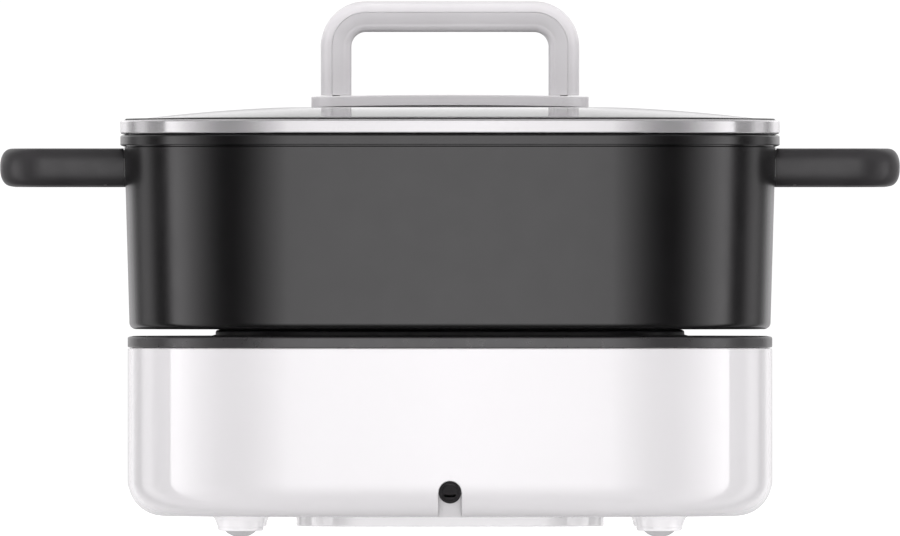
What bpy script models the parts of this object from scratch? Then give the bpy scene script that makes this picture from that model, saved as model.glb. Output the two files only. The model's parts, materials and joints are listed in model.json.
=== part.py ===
"""Split-type electric hot pot: a heating base, a lift-out pot with two side handles and a domed glass lid.

Metres, +Z up. The origin is on the table under the middle of the base. The cord outlet faces -Y,
the control knob +Y, and the pot's handles stand out along X.
"""

import math

import bmesh
import bpy
from mathutils import Matrix, Vector

# Plan sizes. A half is half the width of a rounded square, which is the same along X and Y.
OVERALL_WIDTH = 0.380
RIM_HALF = 0.1389
POT_MOUTH_HALF = 0.1373
POT_FOOT_HALF = 0.1351
BASE_HALF = 0.1358
PLATE_HALF = 0.0988
COVER_HALF = 0.0650
CORNER_CENTRE = 0.0680  # every outer corner turns about this point of the plan
PLATE_CORNER_CENTRE = 0.0608
COVER_CORNER_CENTRE = 0.0400

# Heights above the table.
COVER_UNDERSIDE = 0.0040
HOUSING_UNDERSIDE = 0.0087
HOUSING_TOP = 0.0795
PANEL_TOP = 0.0842
POT_UNDERSIDE = 0.0874
FLANGE_UNDERSIDE = 0.1648
FLANGE_TOP = 0.1699
LID_RIM_UNDERSIDE = 0.1703
LID_RIM_TOP = 0.1759
GLASS_TOP = 0.1822
GRIP_TOP = 0.2263

GAP = 0.0003  # between pieces that touch
HOUSING_WALL = 0.0026
POT_WALL = 0.0030
CORNER_STEPS = 6

# Base housing and its cover.
HOUSING_FILLET = 0.0150
FLOOR_INSIDE = HOUSING_UNDERSIDE + HOUSING_WALL
FOOT_PLACE = 0.0880
FOOT_PAD_RADIUS = 0.0066
FOOT_PAD_TOP = 0.0057
HOUSING_SCREW_PLACE = 0.1000
POST_SPLIT = 0.0262  # where the housing's short posts meet the panel's long ones
SCREW_WELL_RADIUS = 0.0042
SCREW_SEAT = 0.0143
DECK_UNDERSIDE = PANEL_TOP - 0.0028
DECK_COLLAR = 0.0052  # how far the deck's collar round the heating plate reaches down
DECK_LIP = BASE_HALF - HOUSING_WALL - 0.0006  # fits inside the housing's wall
DECK_LIP_LOW = 0.0755

# Heating plate, its shield and the temperature sensor.
PLATE_TOP = POT_UNDERSIDE - GAP
PLATE_UNDERSIDE = 0.0745
SHIELD_FLOOR = 0.0588
SHIELD_SHEET = 0.0008
SHIELD_HALF = 0.1046
SHIELD_CORNER_CENTRE = 0.0608
SHIELD_SCREW_PLACE = 0.1076
ELEMENT_RING_RADIUS = 0.0660
ELEMENT_RADIUS = 0.0040
ELEMENT_END_ANGLE = math.radians(12.0)
ELEMENT_END_Z = 0.0460
SENSOR_RADIUS = 0.0145
SENSOR_TRAVEL = 0.0024
SENSOR_STEM_RADIUS = 0.0035
SENSOR_CAP_LOW = 0.0735
SENSOR_CAP_CEILING = 0.0849
GUIDE_LOW = 0.0570
GUIDE_TOP = 0.0606

# Controls on the +Y side.
KNOB_Z = 0.0445
KNOB_RADIUS = 0.0268
POCKET_RADIUS = 0.0275
POCKET_FLOOR_Y = 0.1260
KNOB_FACE_Y = 0.1386
RING_SEAT_Y = 0.1343
SHAFT_RADIUS = 0.0030
SWITCH_Y = 0.1162
SWITCH_DEPTH = 0.0130

# Cord outlet on the -Y side.
GLAND_Z = 0.0192
GLAND_RADIUS = 0.0046
CORD_HOLE_RADIUS = 0.0034
CHANNEL_RADIUS = 0.0050
CHANNEL_BACK_Y = -0.1332
GLAND_BLOCK_FACE_Y = -0.1220
OUTSIDE_Y = 0.1450  # past the housing's walls, where their cutters end

# Circuit board.
BOARD_TOP = 0.0239
BOARD_THICKNESS = 0.0016
BOARD_Y = -0.0050
BOARD_HOLE_X = 0.0440
BOARD_HOLE_Y = 0.0310
TERMINAL_Y = -0.0340
TERMINAL_HEIGHT = 0.0120

# Side handles.
HANDLE_Z = 0.1556
HANDLE_HEIGHT = 0.0160
HANDLE_THICKNESS = 0.0110
HANDLE_SPAN = 0.0560  # from the middle of the handle to the middle of an arm
HANDLE_BEND = 0.0140
LUG_LENGTH = 0.0130

# Lid.
GLASS_THICKNESS = 0.0040
GLASS_DROP = 0.0062
GLASS_FALL_POWER = 2.75
GLASS_CURVE_HALF = 0.1300
GRIP_LEG_X = 0.0483
GRIP_BEND = 0.0127
GRIP_THICKNESS = 0.0130
GRIP_DEPTH = 0.0220
GRIP_PLATE_HALF = 0.0591
GRIP_PLATE_DEPTH = 0.0300
GRIP_PLATE_THICKNESS = 0.0033
GRIP_PLATE_SAG = 0.00075
GRIP_GASKET_THICKNESS = 0.0008
LID_SCREW_X = 0.0279
VENT_Y = 0.0750
GLASS_EDGE_TOP = 0.1750
GLASS_EDGE_LOW = 0.1716
GLASS_EDGE_INNER = 0.1322
SKIRT_OUTER = 0.1321
SKIRT_INNER = 0.1313
SKIRT_LOW = 0.1650
RIM_INNER = 0.1335
RIM_SHEET = 0.0008
UNDER_GLASS = 0.1700  # below and above the middle of the glass, where its cutters end
OVER_GLASS = 0.1900

# Screws: the head's radius and height, then the shank's radius and length.
HOUSING_SCREW = (0.0037, 0.0028, 0.0016, 0.0340)
SHIELD_SCREW = (0.0024, 0.0016, 0.0012, 0.0024)
BOARD_SCREW = (0.0030, 0.0018, 0.0014, 0.0080)
HANDLE_SCREW = (0.0030, 0.0014, 0.0011, 0.0110)
GRIP_SCREW = (0.0031, 0.0012, 0.0016, 0.0110)
LID_SCREW_HEAD = (0.0060, 0.0022)
LID_SCREW_SHANK_RADIUS = 0.0019
LID_WASHER_THICKNESS = 0.0010

BLACK_PLASTIC = ("black_plastic", (0.030, 0.030, 0.032), 0.45, 0.0)
WHITE_PLASTIC = ("white_plastic", (0.90, 0.90, 0.91), 0.15, 0.0)
GRIP_PLASTIC = ("grip_plastic", (0.80, 0.80, 0.81), 0.35, 0.0)
NON_STICK = ("non_stick", (0.050, 0.050, 0.052), 0.42, 0.3)
HANDLE_PHENOLIC = ("handle_phenolic", (0.035, 0.035, 0.037), 0.50, 0.0)
LID_GLASS = ("lid_glass", (0.85, 0.86, 0.87), 0.03, 0.0)
POLISHED_STEEL = ("polished_steel", (0.80, 0.80, 0.80), 0.18, 1.0)
CAST_ALUMINIUM = ("cast_aluminium", (0.060, 0.060, 0.062), 0.45, 0.6)
SHEET_STEEL = ("sheet_steel", (0.60, 0.60, 0.60), 0.35, 1.0)
ELEMENT_STEEL = ("element_steel", (0.25, 0.24, 0.23), 0.50, 1.0)
SILICONE = ("silicone", (0.12, 0.12, 0.12), 0.60, 0.0)
RUBBER = ("rubber", (0.35, 0.35, 0.36), 0.70, 0.0)
CERAMIC = ("ceramic", (0.80, 0.76, 0.68), 0.50, 0.0)
BOARD_GREEN = ("board_green", (0.03, 0.20, 0.08), 0.45, 0.0)
LIGHT_GUIDE = ("light_guide", (0.85, 0.88, 0.90), 0.30, 0.0)
RELAY_BLUE = ("relay_blue", (0.05, 0.15, 0.45), 0.40, 0.0)
TAPE_YELLOW = ("tape_yellow", (0.75, 0.58, 0.10), 0.50, 0.0)
WIRE_RED = ("wire_red", (0.55, 0.05, 0.04), 0.45, 0.0)


# ---------------------------------------------------------------- scene and objects


def clear_scene():
    for obj in list(bpy.data.objects):
        bpy.data.objects.remove(obj)


def new_collection(name):
    made = bpy.data.collections.new(name)
    bpy.context.scene.collection.children.link(made)
    return made


clear_scene()
PARTS = new_collection("electric_hot_pot")
CUTTERS = new_collection("cutters")


def material(look):
    name, colour, roughness, metallic = look
    found = bpy.data.materials.get(name)
    if found:
        return found
    made = bpy.data.materials.new(name)
    made.use_nodes = True
    shader = made.node_tree.nodes["Principled BSDF"]
    shader.inputs["Base Color"].default_value = (*colour, 1.0)
    shader.inputs["Roughness"].default_value = roughness
    shader.inputs["Metallic"].default_value = metallic
    made.diffuse_color = (*colour, 1.0)
    return made


def group(name, location=(0, 0, 0)):
    """An empty that the pieces of one sub-assembly hang from."""
    empty = bpy.data.objects.new(name, None)
    empty.location = location
    PARTS.objects.link(empty)
    return empty


def piece(name, mesh, look, parent, location=(0, 0, 0), rotation=(0, 0, 0)):
    """A solid of the object. Its location is in world coordinates, whatever its parent is."""
    obj = bpy.data.objects.new(name, mesh)
    PARTS.objects.link(obj)
    obj.rotation_euler = rotation
    obj.location = Vector(location) - parent.location
    obj.parent = parent
    mesh.materials.append(material(look))
    mesh.shade_smooth()
    mesh.set_sharp_from_angle(angle=math.radians(35))
    return obj


def cutter(mesh, location=(0, 0, 0), rotation=(0, 0, 0)):
    """A helper solid for a Boolean, which isn't part of the object."""
    obj = bpy.data.objects.new("cutter", mesh)
    CUTTERS.objects.link(obj)
    obj.location = location
    obj.rotation_euler = rotation
    obj.hide_render = True
    obj.display_type = "WIRE"
    return obj


def boolean(obj, other, operation):
    modifier = obj.modifiers.new(operation.lower(), "BOOLEAN")
    modifier.operation = operation
    modifier.object = other
    modifier.solver = "EXACT"


def cut(obj, *others):
    for other in others:
        boolean(obj, other, "DIFFERENCE")


def join(obj, *others):
    for other in others:
        boolean(obj, other, "UNION")


# ---------------------------------------------------------------- shapes


def rounded_square(half, corner_centre, z):
    """A level ring of points. The corner arcs turn about (corner_centre, corner_centre)."""
    radius = half - corner_centre
    points = []
    for quarter in range(4):
        start = quarter * math.pi / 2
        middle = Vector((math.cos(start + math.pi / 4), math.sin(start + math.pi / 4)))
        centre = middle * corner_centre * math.sqrt(2)
        for step in range(CORNER_STEPS + 1):
            angle = start + math.pi / 2 * step / CORNER_STEPS
            points.append(
                Vector((centre.x + radius * math.cos(angle), centre.y + radius * math.sin(angle), z))
            )
    return points


def plan_rings(sections, corner_centre):
    """Rings for (half, z) pairs that share their corner centres."""
    return [rounded_square(half, corner_centre, z) for half, z in sections]


def skin(rings, closed):
    """A loft through rings of equal length. It closes on itself, or both its ends are capped."""
    bm = bmesh.new()
    loops = [[bm.verts.new(point) for point in ring] for ring in rings]
    pairs = list(zip(loops, loops[1:]))
    if closed:
        pairs.append((loops[-1], loops[0]))
    for upper, lower in pairs:
        for k in range(len(upper)):
            after = (k + 1) % len(upper)
            bm.faces.new((upper[k], lower[k], lower[after], upper[after]))
    if not closed:
        bm.faces.new(loops[0])
        bm.faces.new(loops[-1])
    bmesh.ops.recalc_face_normals(bm, faces=bm.faces)
    return finished(bm)


def finished(bm):
    mesh = bpy.data.meshes.new("mesh")
    bm.to_mesh(mesh)
    bm.free()
    return mesh


def arc(centre, radius, start_degrees, end_degrees, steps):
    """Points of a flat arc, both ends included."""
    angles = [
        math.radians(start_degrees + (end_degrees - start_degrees) * step / steps)
        for step in range(steps + 1)
    ]
    return [(centre[0] + radius * math.cos(a), centre[1] + radius * math.sin(a)) for a in angles]


def profile_mesh(points, closed):
    """A chain of edges in the XZ plane, for a Screw modifier to turn."""
    bm = bmesh.new()
    verts = [bm.verts.new((radius, 0, z)) for radius, z in points]
    for a, b in zip(verts, verts[1:]):
        bm.edges.new((a, b))
    if closed:
        bm.edges.new((verts[-1], verts[0]))
    return finished(bm)


def turn(obj, steps):
    screw = obj.modifiers.new("turn", "SCREW")
    screw.steps = steps
    screw.render_steps = steps
    screw.use_merge_vertices = True
    screw.merge_threshold = 0.00001
    screw.use_smooth_shade = True


def turned(name, points, look, parent, location=(0, 0, 0), rotation=(0, 0, 0), steps=24):
    """A solid turned about its own Z. A profile starts and ends on the axis, or is a closed ring."""
    on_axis = points[0][0] == 0
    obj = piece(name, profile_mesh(points, not on_axis), look, parent, location, rotation)
    turn(obj, steps)
    return obj


def turned_cutter(points, location, rotation=(0, 0, 0), steps=24):
    obj = cutter(profile_mesh(points, points[0][0] != 0), location, rotation)
    turn(obj, steps)
    return obj


def rod(radius, low, high):
    """The profile of a plain cylinder."""
    return [(0, high), (radius, high), (radius, low), (0, low)]


def tube_profile(inner, outer, low, high):
    return [(outer, high), (outer, low), (inner, low), (inner, high)]


def cube_mesh(size):
    bm = bmesh.new()
    bmesh.ops.create_cube(bm, size=1.0, matrix=Matrix.Diagonal((*size, 1.0)))
    return finished(bm)


def box(name, size, look, parent, location, bevel=0.0006, rotation=(0, 0, 0)):
    obj = piece(name, cube_mesh(size), look, parent, location, rotation)
    rounding = obj.modifiers.new("rounding", "BEVEL")
    rounding.width = bevel
    rounding.segments = 1
    return obj


def box_cutter(low, high):
    """A box between two opposite corners."""
    low, high = Vector(low), Vector(high)
    return cutter(cube_mesh(high - low), (low + high) / 2)


def prism_cutter(outline, half_width):
    """A prism along X whose outline is given as (y, z) points."""
    return cutter(skin([[Vector((x, y, z)) for y, z in outline] for x in (-half_width, half_width)], False))


def curve_of(points, cyclic=False):
    curve = bpy.data.curves.new("curve", "CURVE")
    curve.dimensions = "3D"
    spline = curve.splines.new("POLY")
    spline.points.add(len(points) - 1)
    for spot, point in zip(spline.points, points):
        spot.co = (*point, 1.0)
    spline.use_cyclic_u = cyclic
    return curve


def mesh_of_curve(curve):
    """The evaluated mesh of a curve, with its caps welded on, and the curve removed."""
    holder = bpy.data.objects.new("curve", curve)
    CUTTERS.objects.link(holder)
    graph = bpy.context.evaluated_depsgraph_get()
    mesh = bpy.data.meshes.new_from_object(holder.evaluated_get(graph))
    bpy.data.objects.remove(holder)
    bm = bmesh.new()
    bm.from_mesh(mesh)
    bmesh.ops.remove_doubles(bm, verts=bm.verts, dist=0.000001)
    bmesh.ops.recalc_face_normals(bm, faces=bm.faces)
    bm.to_mesh(mesh)
    bm.free()
    return mesh


def wire(name, points, radius, look, parent, sides=1):
    """A round tube along a chain of points."""
    curve = curve_of(points)
    curve.bevel_depth = radius
    curve.bevel_resolution = sides
    curve.use_fill_caps = True
    return piece(name, mesh_of_curve(curve), look, parent)


def swept_mesh(path, section):
    """A flat section carried along a flat path. The section's X follows the side of the path."""
    outline = bpy.data.objects.new("section", curve_of([(x, y, 0) for x, y in section], True))
    outline.data.dimensions = "2D"
    outline.data.fill_mode = "NONE"
    CUTTERS.objects.link(outline)
    curve = curve_of(path)
    curve.bevel_mode = "OBJECT"
    curve.bevel_object = outline
    curve.use_fill_caps = True
    curve.twist_mode = "MINIMUM"
    mesh = mesh_of_curve(curve)
    bpy.data.objects.remove(outline)
    return mesh


def bent_path(width, height, radius, steps):
    """A flat U: up from (-width, 0), over at height, and down to (width, 0), with round bends."""
    left = arc((-width + radius, height - radius), radius, 180, 90, steps)
    right = arc((width - radius, height - radius), radius, 90, 0, steps)
    return [(-width, 0), *left, *right, (width, 0)]


def four_places(reach):
    """The same place in each corner of the plan, with a name for it."""
    names = ("front_right", "front_left", "rear_left", "rear_right")
    return [
        (name, (side_x * reach, side_y * reach))
        for name, side_x, side_y in zip(names, (1, -1, -1, 1), (1, 1, -1, -1))
    ]


FACING_Y = (-math.pi / 2, 0, 0)  # turns a piece's own Z to +Y
FACING_DOWN = (math.pi, 0, 0)


def screw_profile(head_radius, head_height, shank_radius, length):
    """A pan-head screw along Z. The seat of its head is at 0 and its shank goes up."""
    return [
        (0, length),
        (shank_radius, length),
        (shank_radius, 0),
        (head_radius, 0),
        (head_radius, -head_height * 0.4),
        (head_radius * 0.72, -head_height),
        (0, -head_height),
    ]


def cross_recess(obj, location, width, depth, head_height):
    """Cuts a cross drive into the underside of a screw's head."""
    x, y, z = location
    bottom = z - head_height
    for across, along in ((width, width * 0.28), (width * 0.28, width)):
        cut(
            obj,
            box_cutter(
                (x - across / 2, y - along / 2, bottom - 0.001),
                (x + across / 2, y + along / 2, bottom + depth),
            ),
        )


# ---------------------------------------------------------------- base


def base_housing(base):
    """The white shell, with its feet, posts, knob pocket and cord channel."""
    fillet_centre = (BASE_HALF - HOUSING_FILLET, HOUSING_UNDERSIDE + HOUSING_FILLET)
    outer_fillet = arc(fillet_centre, HOUSING_FILLET, 0, -90, 5)
    inner_fillet = arc(fillet_centre, HOUSING_FILLET - HOUSING_WALL, -90, 0, 4)
    opening = COVER_HALF - 0.0030
    rings = (
        plan_rings([(BASE_HALF, HOUSING_TOP), *outer_fillet], CORNER_CENTRE)
        + plan_rings([(opening, HOUSING_UNDERSIDE), (opening, FLOOR_INSIDE)], COVER_CORNER_CENTRE)
        + plan_rings([*inner_fillet, (BASE_HALF - HOUSING_WALL, HOUSING_TOP)], CORNER_CENTRE)
    )
    housing = piece("base_housing", skin(rings, True), WHITE_PLASTIC, base)
    foot = [
        (0, 0.0105),
        (0.0115, 0.0105),
        (0.0113, 0.0080),
        (0.0095, 0.0036),
        (0.0084, 0.0026),
        (0, 0.0026),
    ]
    for _, (x, y) in four_places(FOOT_PLACE):
        join(housing, turned_cutter(foot, (x, y, 0), steps=16))
        pad_hole = rod(FOOT_PAD_RADIUS + GAP, -0.001, FOOT_PAD_TOP + GAP)
        cut(housing, turned_cutter(pad_hole, (x, y, 0), steps=16))
    for _, (x, y) in four_places(HOUSING_SCREW_PLACE):
        join(housing, turned_cutter(rod(0.0065, FLOOR_INSIDE - 0.001, POST_SPLIT), (x, y, 0), steps=12))
        bore = [
            (0, 0.040),
            (0.0023, 0.040),
            (0.0023, SCREW_SEAT),
            (SCREW_WELL_RADIUS, SCREW_SEAT),
            (SCREW_WELL_RADIUS, 0),
            (0, 0),
        ]
        cut(housing, turned_cutter(bore, (x, y, 0), steps=12))
    add_knob_pocket(housing)
    add_cord_channel(housing)


def add_knob_pocket(housing):
    """A round dish in the +Y wall that the knob turns in, with a seat for the light ring around it."""
    centre = (0, 0, KNOB_Z)
    cup = turned_cutter(rod(POCKET_RADIUS + 0.0032, POCKET_FLOOR_Y - 0.003, 0.1345), centre, FACING_Y, 28)
    dish = [
        (0, OUTSIDE_Y),
        (POCKET_RADIUS + 0.0025, OUTSIDE_Y),
        (POCKET_RADIUS + 0.0025, RING_SEAT_Y),
        (POCKET_RADIUS, RING_SEAT_Y),
        (POCKET_RADIUS, POCKET_FLOOR_Y),
        (0.0048, POCKET_FLOOR_Y),
        (0.0048, 0.110),
        (0, 0.110),
    ]
    join(housing, cup)
    cut(housing, turned_cutter(dish, centre, FACING_Y, 28))


def add_cord_channel(housing):
    """A block behind the -Y wall for the gland, and the channel that lets a cord turn down."""
    fillet_centre = (-BASE_HALF + HOUSING_FILLET, HOUSING_UNDERSIDE + HOUSING_FILLET)
    block = [
        (GLAND_BLOCK_FACE_Y, 0.0290),
        (-0.1345, 0.0290),
        *arc(fillet_centre, HOUSING_FILLET - 0.0014, 180, 262, 4),
        (-0.1180, 0.0101),
        (GLAND_BLOCK_FACE_Y, 0.0118),
    ]
    join(housing, prism_cutter(block, 0.0095))
    low = HOUSING_UNDERSIDE - 0.003
    slope = [(-OUTSIDE_Y, GLAND_Z), (CHANNEL_BACK_Y, GLAND_Z), (-0.1190, low), (-OUTSIDE_Y, low)]
    centre = (0, 0, GLAND_Z)
    mouth = turned_cutter(rod(CHANNEL_RADIUS, -OUTSIDE_Y, CHANNEL_BACK_Y), centre, FACING_Y, 20)
    hole = turned_cutter(rod(GLAND_RADIUS + 0.0002, -OUTSIDE_Y, -0.110), centre, FACING_Y, 16)
    cut(housing, mouth, prism_cutter(slope, CHANNEL_RADIUS), hole)


def bottom_cover(base):
    """The dish that closes the housing's underside and carries the circuit board."""
    sections = [
        (COVER_HALF - 0.0074, COVER_UNDERSIDE + 0.0024),
        (COVER_HALF - 0.0054, COVER_UNDERSIDE + 0.0044),
        (COVER_HALF - 0.0054, 0.0145),
        (COVER_HALF - 0.0036, 0.0145),
        (COVER_HALF - 0.0036, HOUSING_UNDERSIDE - GAP),
        (COVER_HALF, HOUSING_UNDERSIDE - GAP),
        (COVER_HALF, COVER_UNDERSIDE + 0.0006),
        (COVER_HALF - 0.0006, COVER_UNDERSIDE),
    ]
    dish = skin(plan_rings(sections, COVER_CORNER_CENTRE), False)
    cover = piece("bottom_cover", dish, WHITE_PLASTIC, base)
    board_low = BOARD_TOP - BOARD_THICKNESS
    for _, (side_x, side_y) in four_places(1):
        x, y = side_x * BOARD_HOLE_X, BOARD_Y + side_y * BOARD_HOLE_Y
        post = rod(0.0036, COVER_UNDERSIDE + 0.001, board_low - GAP)
        join(cover, turned_cutter(post, (x, y, 0), steps=12))
        if side_x == side_y:
            cut(cover, turned_cutter(rod(0.0017, 0.0120, 0.0300), (x, y, 0), steps=12))
        else:
            join(cover, turned_cutter(rod(0.0013, 0.0120, BOARD_TOP + 0.0015), (x, y, 0), steps=12))
    slot_length, slot_width = 0.0300, 0.0030
    for side_x in (-1, 1):
        for row in range(-2, 3):
            x, y = side_x * 0.0200, row * 0.0085
            low = (x - slot_length / 2, y - slot_width / 2, 0)
            cut(cover, box_cutter(low, (x + slot_length / 2, y + slot_width / 2, 0.009)))


def top_panel(base):
    """The black deck, with an opening for the heating plate and posts for the housing's screws."""
    opening = PLATE_HALF + 0.0021
    collar = opening + 0.0023
    rings = (
        plan_rings(
            [
                (DECK_LIP, HOUSING_TOP + GAP),
                (BASE_HALF, HOUSING_TOP + GAP),
                (BASE_HALF, PANEL_TOP - 0.0006),
                (BASE_HALF - 0.0006, PANEL_TOP),
            ],
            CORNER_CENTRE,
        )
        + plan_rings(
            [
                (opening, PANEL_TOP),
                (opening, PANEL_TOP - DECK_COLLAR),
                (collar, PANEL_TOP - DECK_COLLAR),
                (collar, DECK_UNDERSIDE),
            ],
            PLATE_CORNER_CENTRE,
        )
        + plan_rings(
            [
                (DECK_LIP - 0.0027, DECK_UNDERSIDE),
                (DECK_LIP - 0.0027, DECK_LIP_LOW),
                (DECK_LIP, DECK_LIP_LOW),
            ],
            CORNER_CENTRE,
        )
    )
    panel = piece("top_panel", skin(rings, True), BLACK_PLASTIC, base)
    for _, (x, y) in four_places(HOUSING_SCREW_PLACE):
        post = rod(0.0045, POST_SPLIT + GAP, DECK_UNDERSIDE + 0.001)
        join(panel, turned_cutter(post, (x, y, 0), steps=10))
        cut(panel, turned_cutter(rod(0.0019, 0.010, 0.060), (x, y, 0), steps=10))
    for x, y in side_middles(SHIELD_SCREW_PLACE):
        cut(panel, turned_cutter(rod(0.0015, 0.070, DECK_UNDERSIDE + 0.0018), (x, y, 0), steps=8))


def side_middles(reach):
    return [(reach, 0), (0, reach), (-reach, 0), (0, -reach)]


def housing_screws(base):
    for name, (x, y) in four_places(HOUSING_SCREW_PLACE):
        seat = (x, y, SCREW_SEAT - GAP)
        turned(f"housing_screw_{name}", screw_profile(*HOUSING_SCREW), SHEET_STEEL, base, seat, steps=12)


def foot_pads(base):
    """Rubber buttons pressed into the housing's feet. The whole object stands on them."""
    for name, (x, y) in four_places(FOOT_PLACE):
        profile = [
            (0, FOOT_PAD_TOP),
            (FOOT_PAD_RADIUS, FOOT_PAD_TOP),
            (FOOT_PAD_RADIUS, 0.0017),
            (0.0052, 0.0005),
            (0.0035, 0),
            (0, 0),
        ]
        turned(f"foot_pad_{name}", profile, RUBBER, base, (x, y, 0), steps=16)


# ---------------------------------------------------------------- heater


def heating_plate(base):
    """The cast plate that the pot stands on, with the sensor's hole, the element's groove and four legs."""
    sections = [
        (PLATE_HALF - 0.0008, PLATE_TOP),
        (PLATE_HALF, PLATE_TOP - 0.0008),
        (PLATE_HALF, PLATE_UNDERSIDE + 0.0010),
        (PLATE_HALF - 0.0010, PLATE_UNDERSIDE),
    ]
    plate = piece(
        "heating_plate", skin(plan_rings(sections, PLATE_CORNER_CENTRE), False), CAST_ALUMINIUM, base
    )
    leg_place = 0.0620
    for _, (x, y) in four_places(leg_place):
        leg = rod(0.0050, SHIELD_FLOOR + GAP, PLATE_UNDERSIDE + 0.003)
        join(plate, turned_cutter(leg, (x, y, 0), steps=10))
    groove = arc((ELEMENT_RING_RADIUS, PLATE_UNDERSIDE), ELEMENT_RADIUS + 0.0008, 90, -240, 9)
    cut(
        plate,
        turned_cutter(rod(SENSOR_RADIUS + 0.0005, 0.060, 0.095), (0, 0, 0)),
        turned_cutter(groove, (0, 0, 0), steps=36),
    )


def heating_element(base):
    """A sheathed tube bent to an open ring in the plate's groove, its ends turned down to the terminals."""
    bend = 0.0060
    turn_in = bend / ELEMENT_RING_RADIUS
    start = -math.pi / 2 + ELEMENT_END_ANGLE
    end = 3 * math.pi / 2 - ELEMENT_END_ANGLE
    path = [(start, ELEMENT_END_Z), (start, PLATE_UNDERSIDE - bend)]
    path += [
        (start + turn_in * (1 - math.cos(a)), PLATE_UNDERSIDE - bend + bend * math.sin(a))
        for a in (math.radians(30), math.radians(60))
    ]
    ring_steps = 33
    first, last = start + turn_in, end - turn_in
    path += [(first + (last - first) * k / ring_steps, PLATE_UNDERSIDE) for k in range(ring_steps + 1)]
    path += [
        (end - turn_in * (1 - math.cos(a)), PLATE_UNDERSIDE - bend + bend * math.sin(a))
        for a in (math.radians(60), math.radians(30))
    ]
    path += [(end, PLATE_UNDERSIDE - bend), (end, ELEMENT_END_Z)]
    points = [
        (ELEMENT_RING_RADIUS * math.cos(a), ELEMENT_RING_RADIUS * math.sin(a), z) for a, z in path
    ]
    wire("heating_element", points, ELEMENT_RADIUS, ELEMENT_STEEL, base)


def element_ends():
    """Where the element's two ends come down, in plan."""
    across = ELEMENT_RING_RADIUS * math.sin(ELEMENT_END_ANGLE)
    along = ELEMENT_RING_RADIUS * math.cos(ELEMENT_END_ANGLE)
    return [(side * across, -along) for side in (-1, 1)]


def plate_seal(base):
    """The silicone ring between the heating plate and the deck."""
    inner, outer = PLATE_HALF + GAP, PLATE_HALF + 0.0018
    low, high = PANEL_TOP - 0.0048, PANEL_TOP + 0.0006
    sections = [(outer, high), (outer, low), (inner, low), (inner, high)]
    piece("plate_seal", skin(plan_rings(sections, PLATE_CORNER_CENTRE), True), SILICONE, base)


def heat_shield(base):
    """The sheet pan that hangs from the deck and carries the heating plate."""
    top = DECK_UNDERSIDE - GAP
    low = SHIELD_FLOOR - SHIELD_SHEET
    inner = SHIELD_HALF - SHIELD_SHEET
    flange = SHIELD_HALF + 0.0058
    sections = [
        (inner - 0.0028, SHIELD_FLOOR),
        (inner, SHIELD_FLOOR + 0.0028),
        (inner, top),
        (flange, top),
        (flange, top - SHIELD_SHEET),
        (SHIELD_HALF, top - SHIELD_SHEET),
        (SHIELD_HALF, low + 0.0031),
        (SHIELD_HALF - 0.0031, low),
    ]
    pan = skin(plan_rings(sections, SHIELD_CORNER_CENTRE), False)
    shield = piece("heat_shield", pan, SHEET_STEEL, base)
    cut(shield, turned_cutter(rod(0.0050, 0.050, 0.065), (0, 0, 0)))
    for x, y in element_ends():
        cut(shield, turned_cutter(rod(0.0065, 0.050, 0.065), (x, y, 0), steps=16))
    for x, y in side_middles(SHIELD_SCREW_PLACE):
        cut(shield, turned_cutter(rod(0.0017, 0.075, 0.085), (x, y, 0), steps=12))


def shield_screws(base):
    seat = DECK_UNDERSIDE - GAP - SHIELD_SHEET - 0.0002
    for name, (x, y) in zip(("right", "front", "left", "rear"), side_middles(SHIELD_SCREW_PLACE)):
        place = (x, y, seat)
        turned(f"shield_screw_{name}", screw_profile(*SHIELD_SCREW), SHEET_STEEL, base, place, steps=12)


def temperature_sensor(base):
    """The sprung cap in the plate's middle. The pot holds it down, and its clip stops it going up."""
    sensor = group("sensor_group")
    stem = SENSOR_STEM_RADIUS
    inner = SENSOR_RADIUS - 0.0012
    clip_top = GUIDE_LOW - SENSOR_TRAVEL - GAP
    cap = [
        (0, PLATE_TOP),
        (SENSOR_RADIUS - 0.0008, PLATE_TOP),
        (SENSOR_RADIUS, PLATE_TOP - 0.0008),
        (SENSOR_RADIUS, SENSOR_CAP_LOW),
        (inner, SENSOR_CAP_LOW),
        (inner, SENSOR_CAP_CEILING),
        (stem, SENSOR_CAP_CEILING),
        (stem, clip_top + 0.0002),
        (0.0026, clip_top + 0.0002),
        (0.0026, clip_top - 0.0010),
        (stem, clip_top - 0.0010),
        (stem, clip_top - 0.0030),
        (0, clip_top - 0.0030),
    ]
    turned("sensor_cap", cap, CAST_ALUMINIUM, sensor, steps=20)
    clip = tube_profile(0.0028, 0.0062, clip_top - 0.0008, clip_top)
    turned("sensor_clip", clip, SHEET_STEEL, sensor, steps=14)
    guide = [
        (0.0090, GUIDE_TOP),
        (0.0090, SHIELD_FLOOR + GAP),
        (0.0047, SHIELD_FLOOR + GAP),
        (0.0047, GUIDE_LOW),
        (0.0038, GUIDE_LOW),
        (0.0038, GUIDE_TOP),
    ]
    turned("sensor_guide", guide, CERAMIC, base, steps=16)
    low, high, turns, steps_a_turn = 0.0617, 0.0839, 5, 10
    coil_radius, coil_wire = 0.0075, 0.0006
    count = turns * steps_a_turn
    coil = [
        (
            coil_radius * math.cos(2 * math.pi * k / steps_a_turn),
            coil_radius * math.sin(2 * math.pi * k / steps_a_turn),
            low + (high - low) * k / count,
        )
        for k in range(count + 1)
    ]
    wire("sensor_spring", coil, coil_wire, SHEET_STEEL, base, sides=0)


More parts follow.
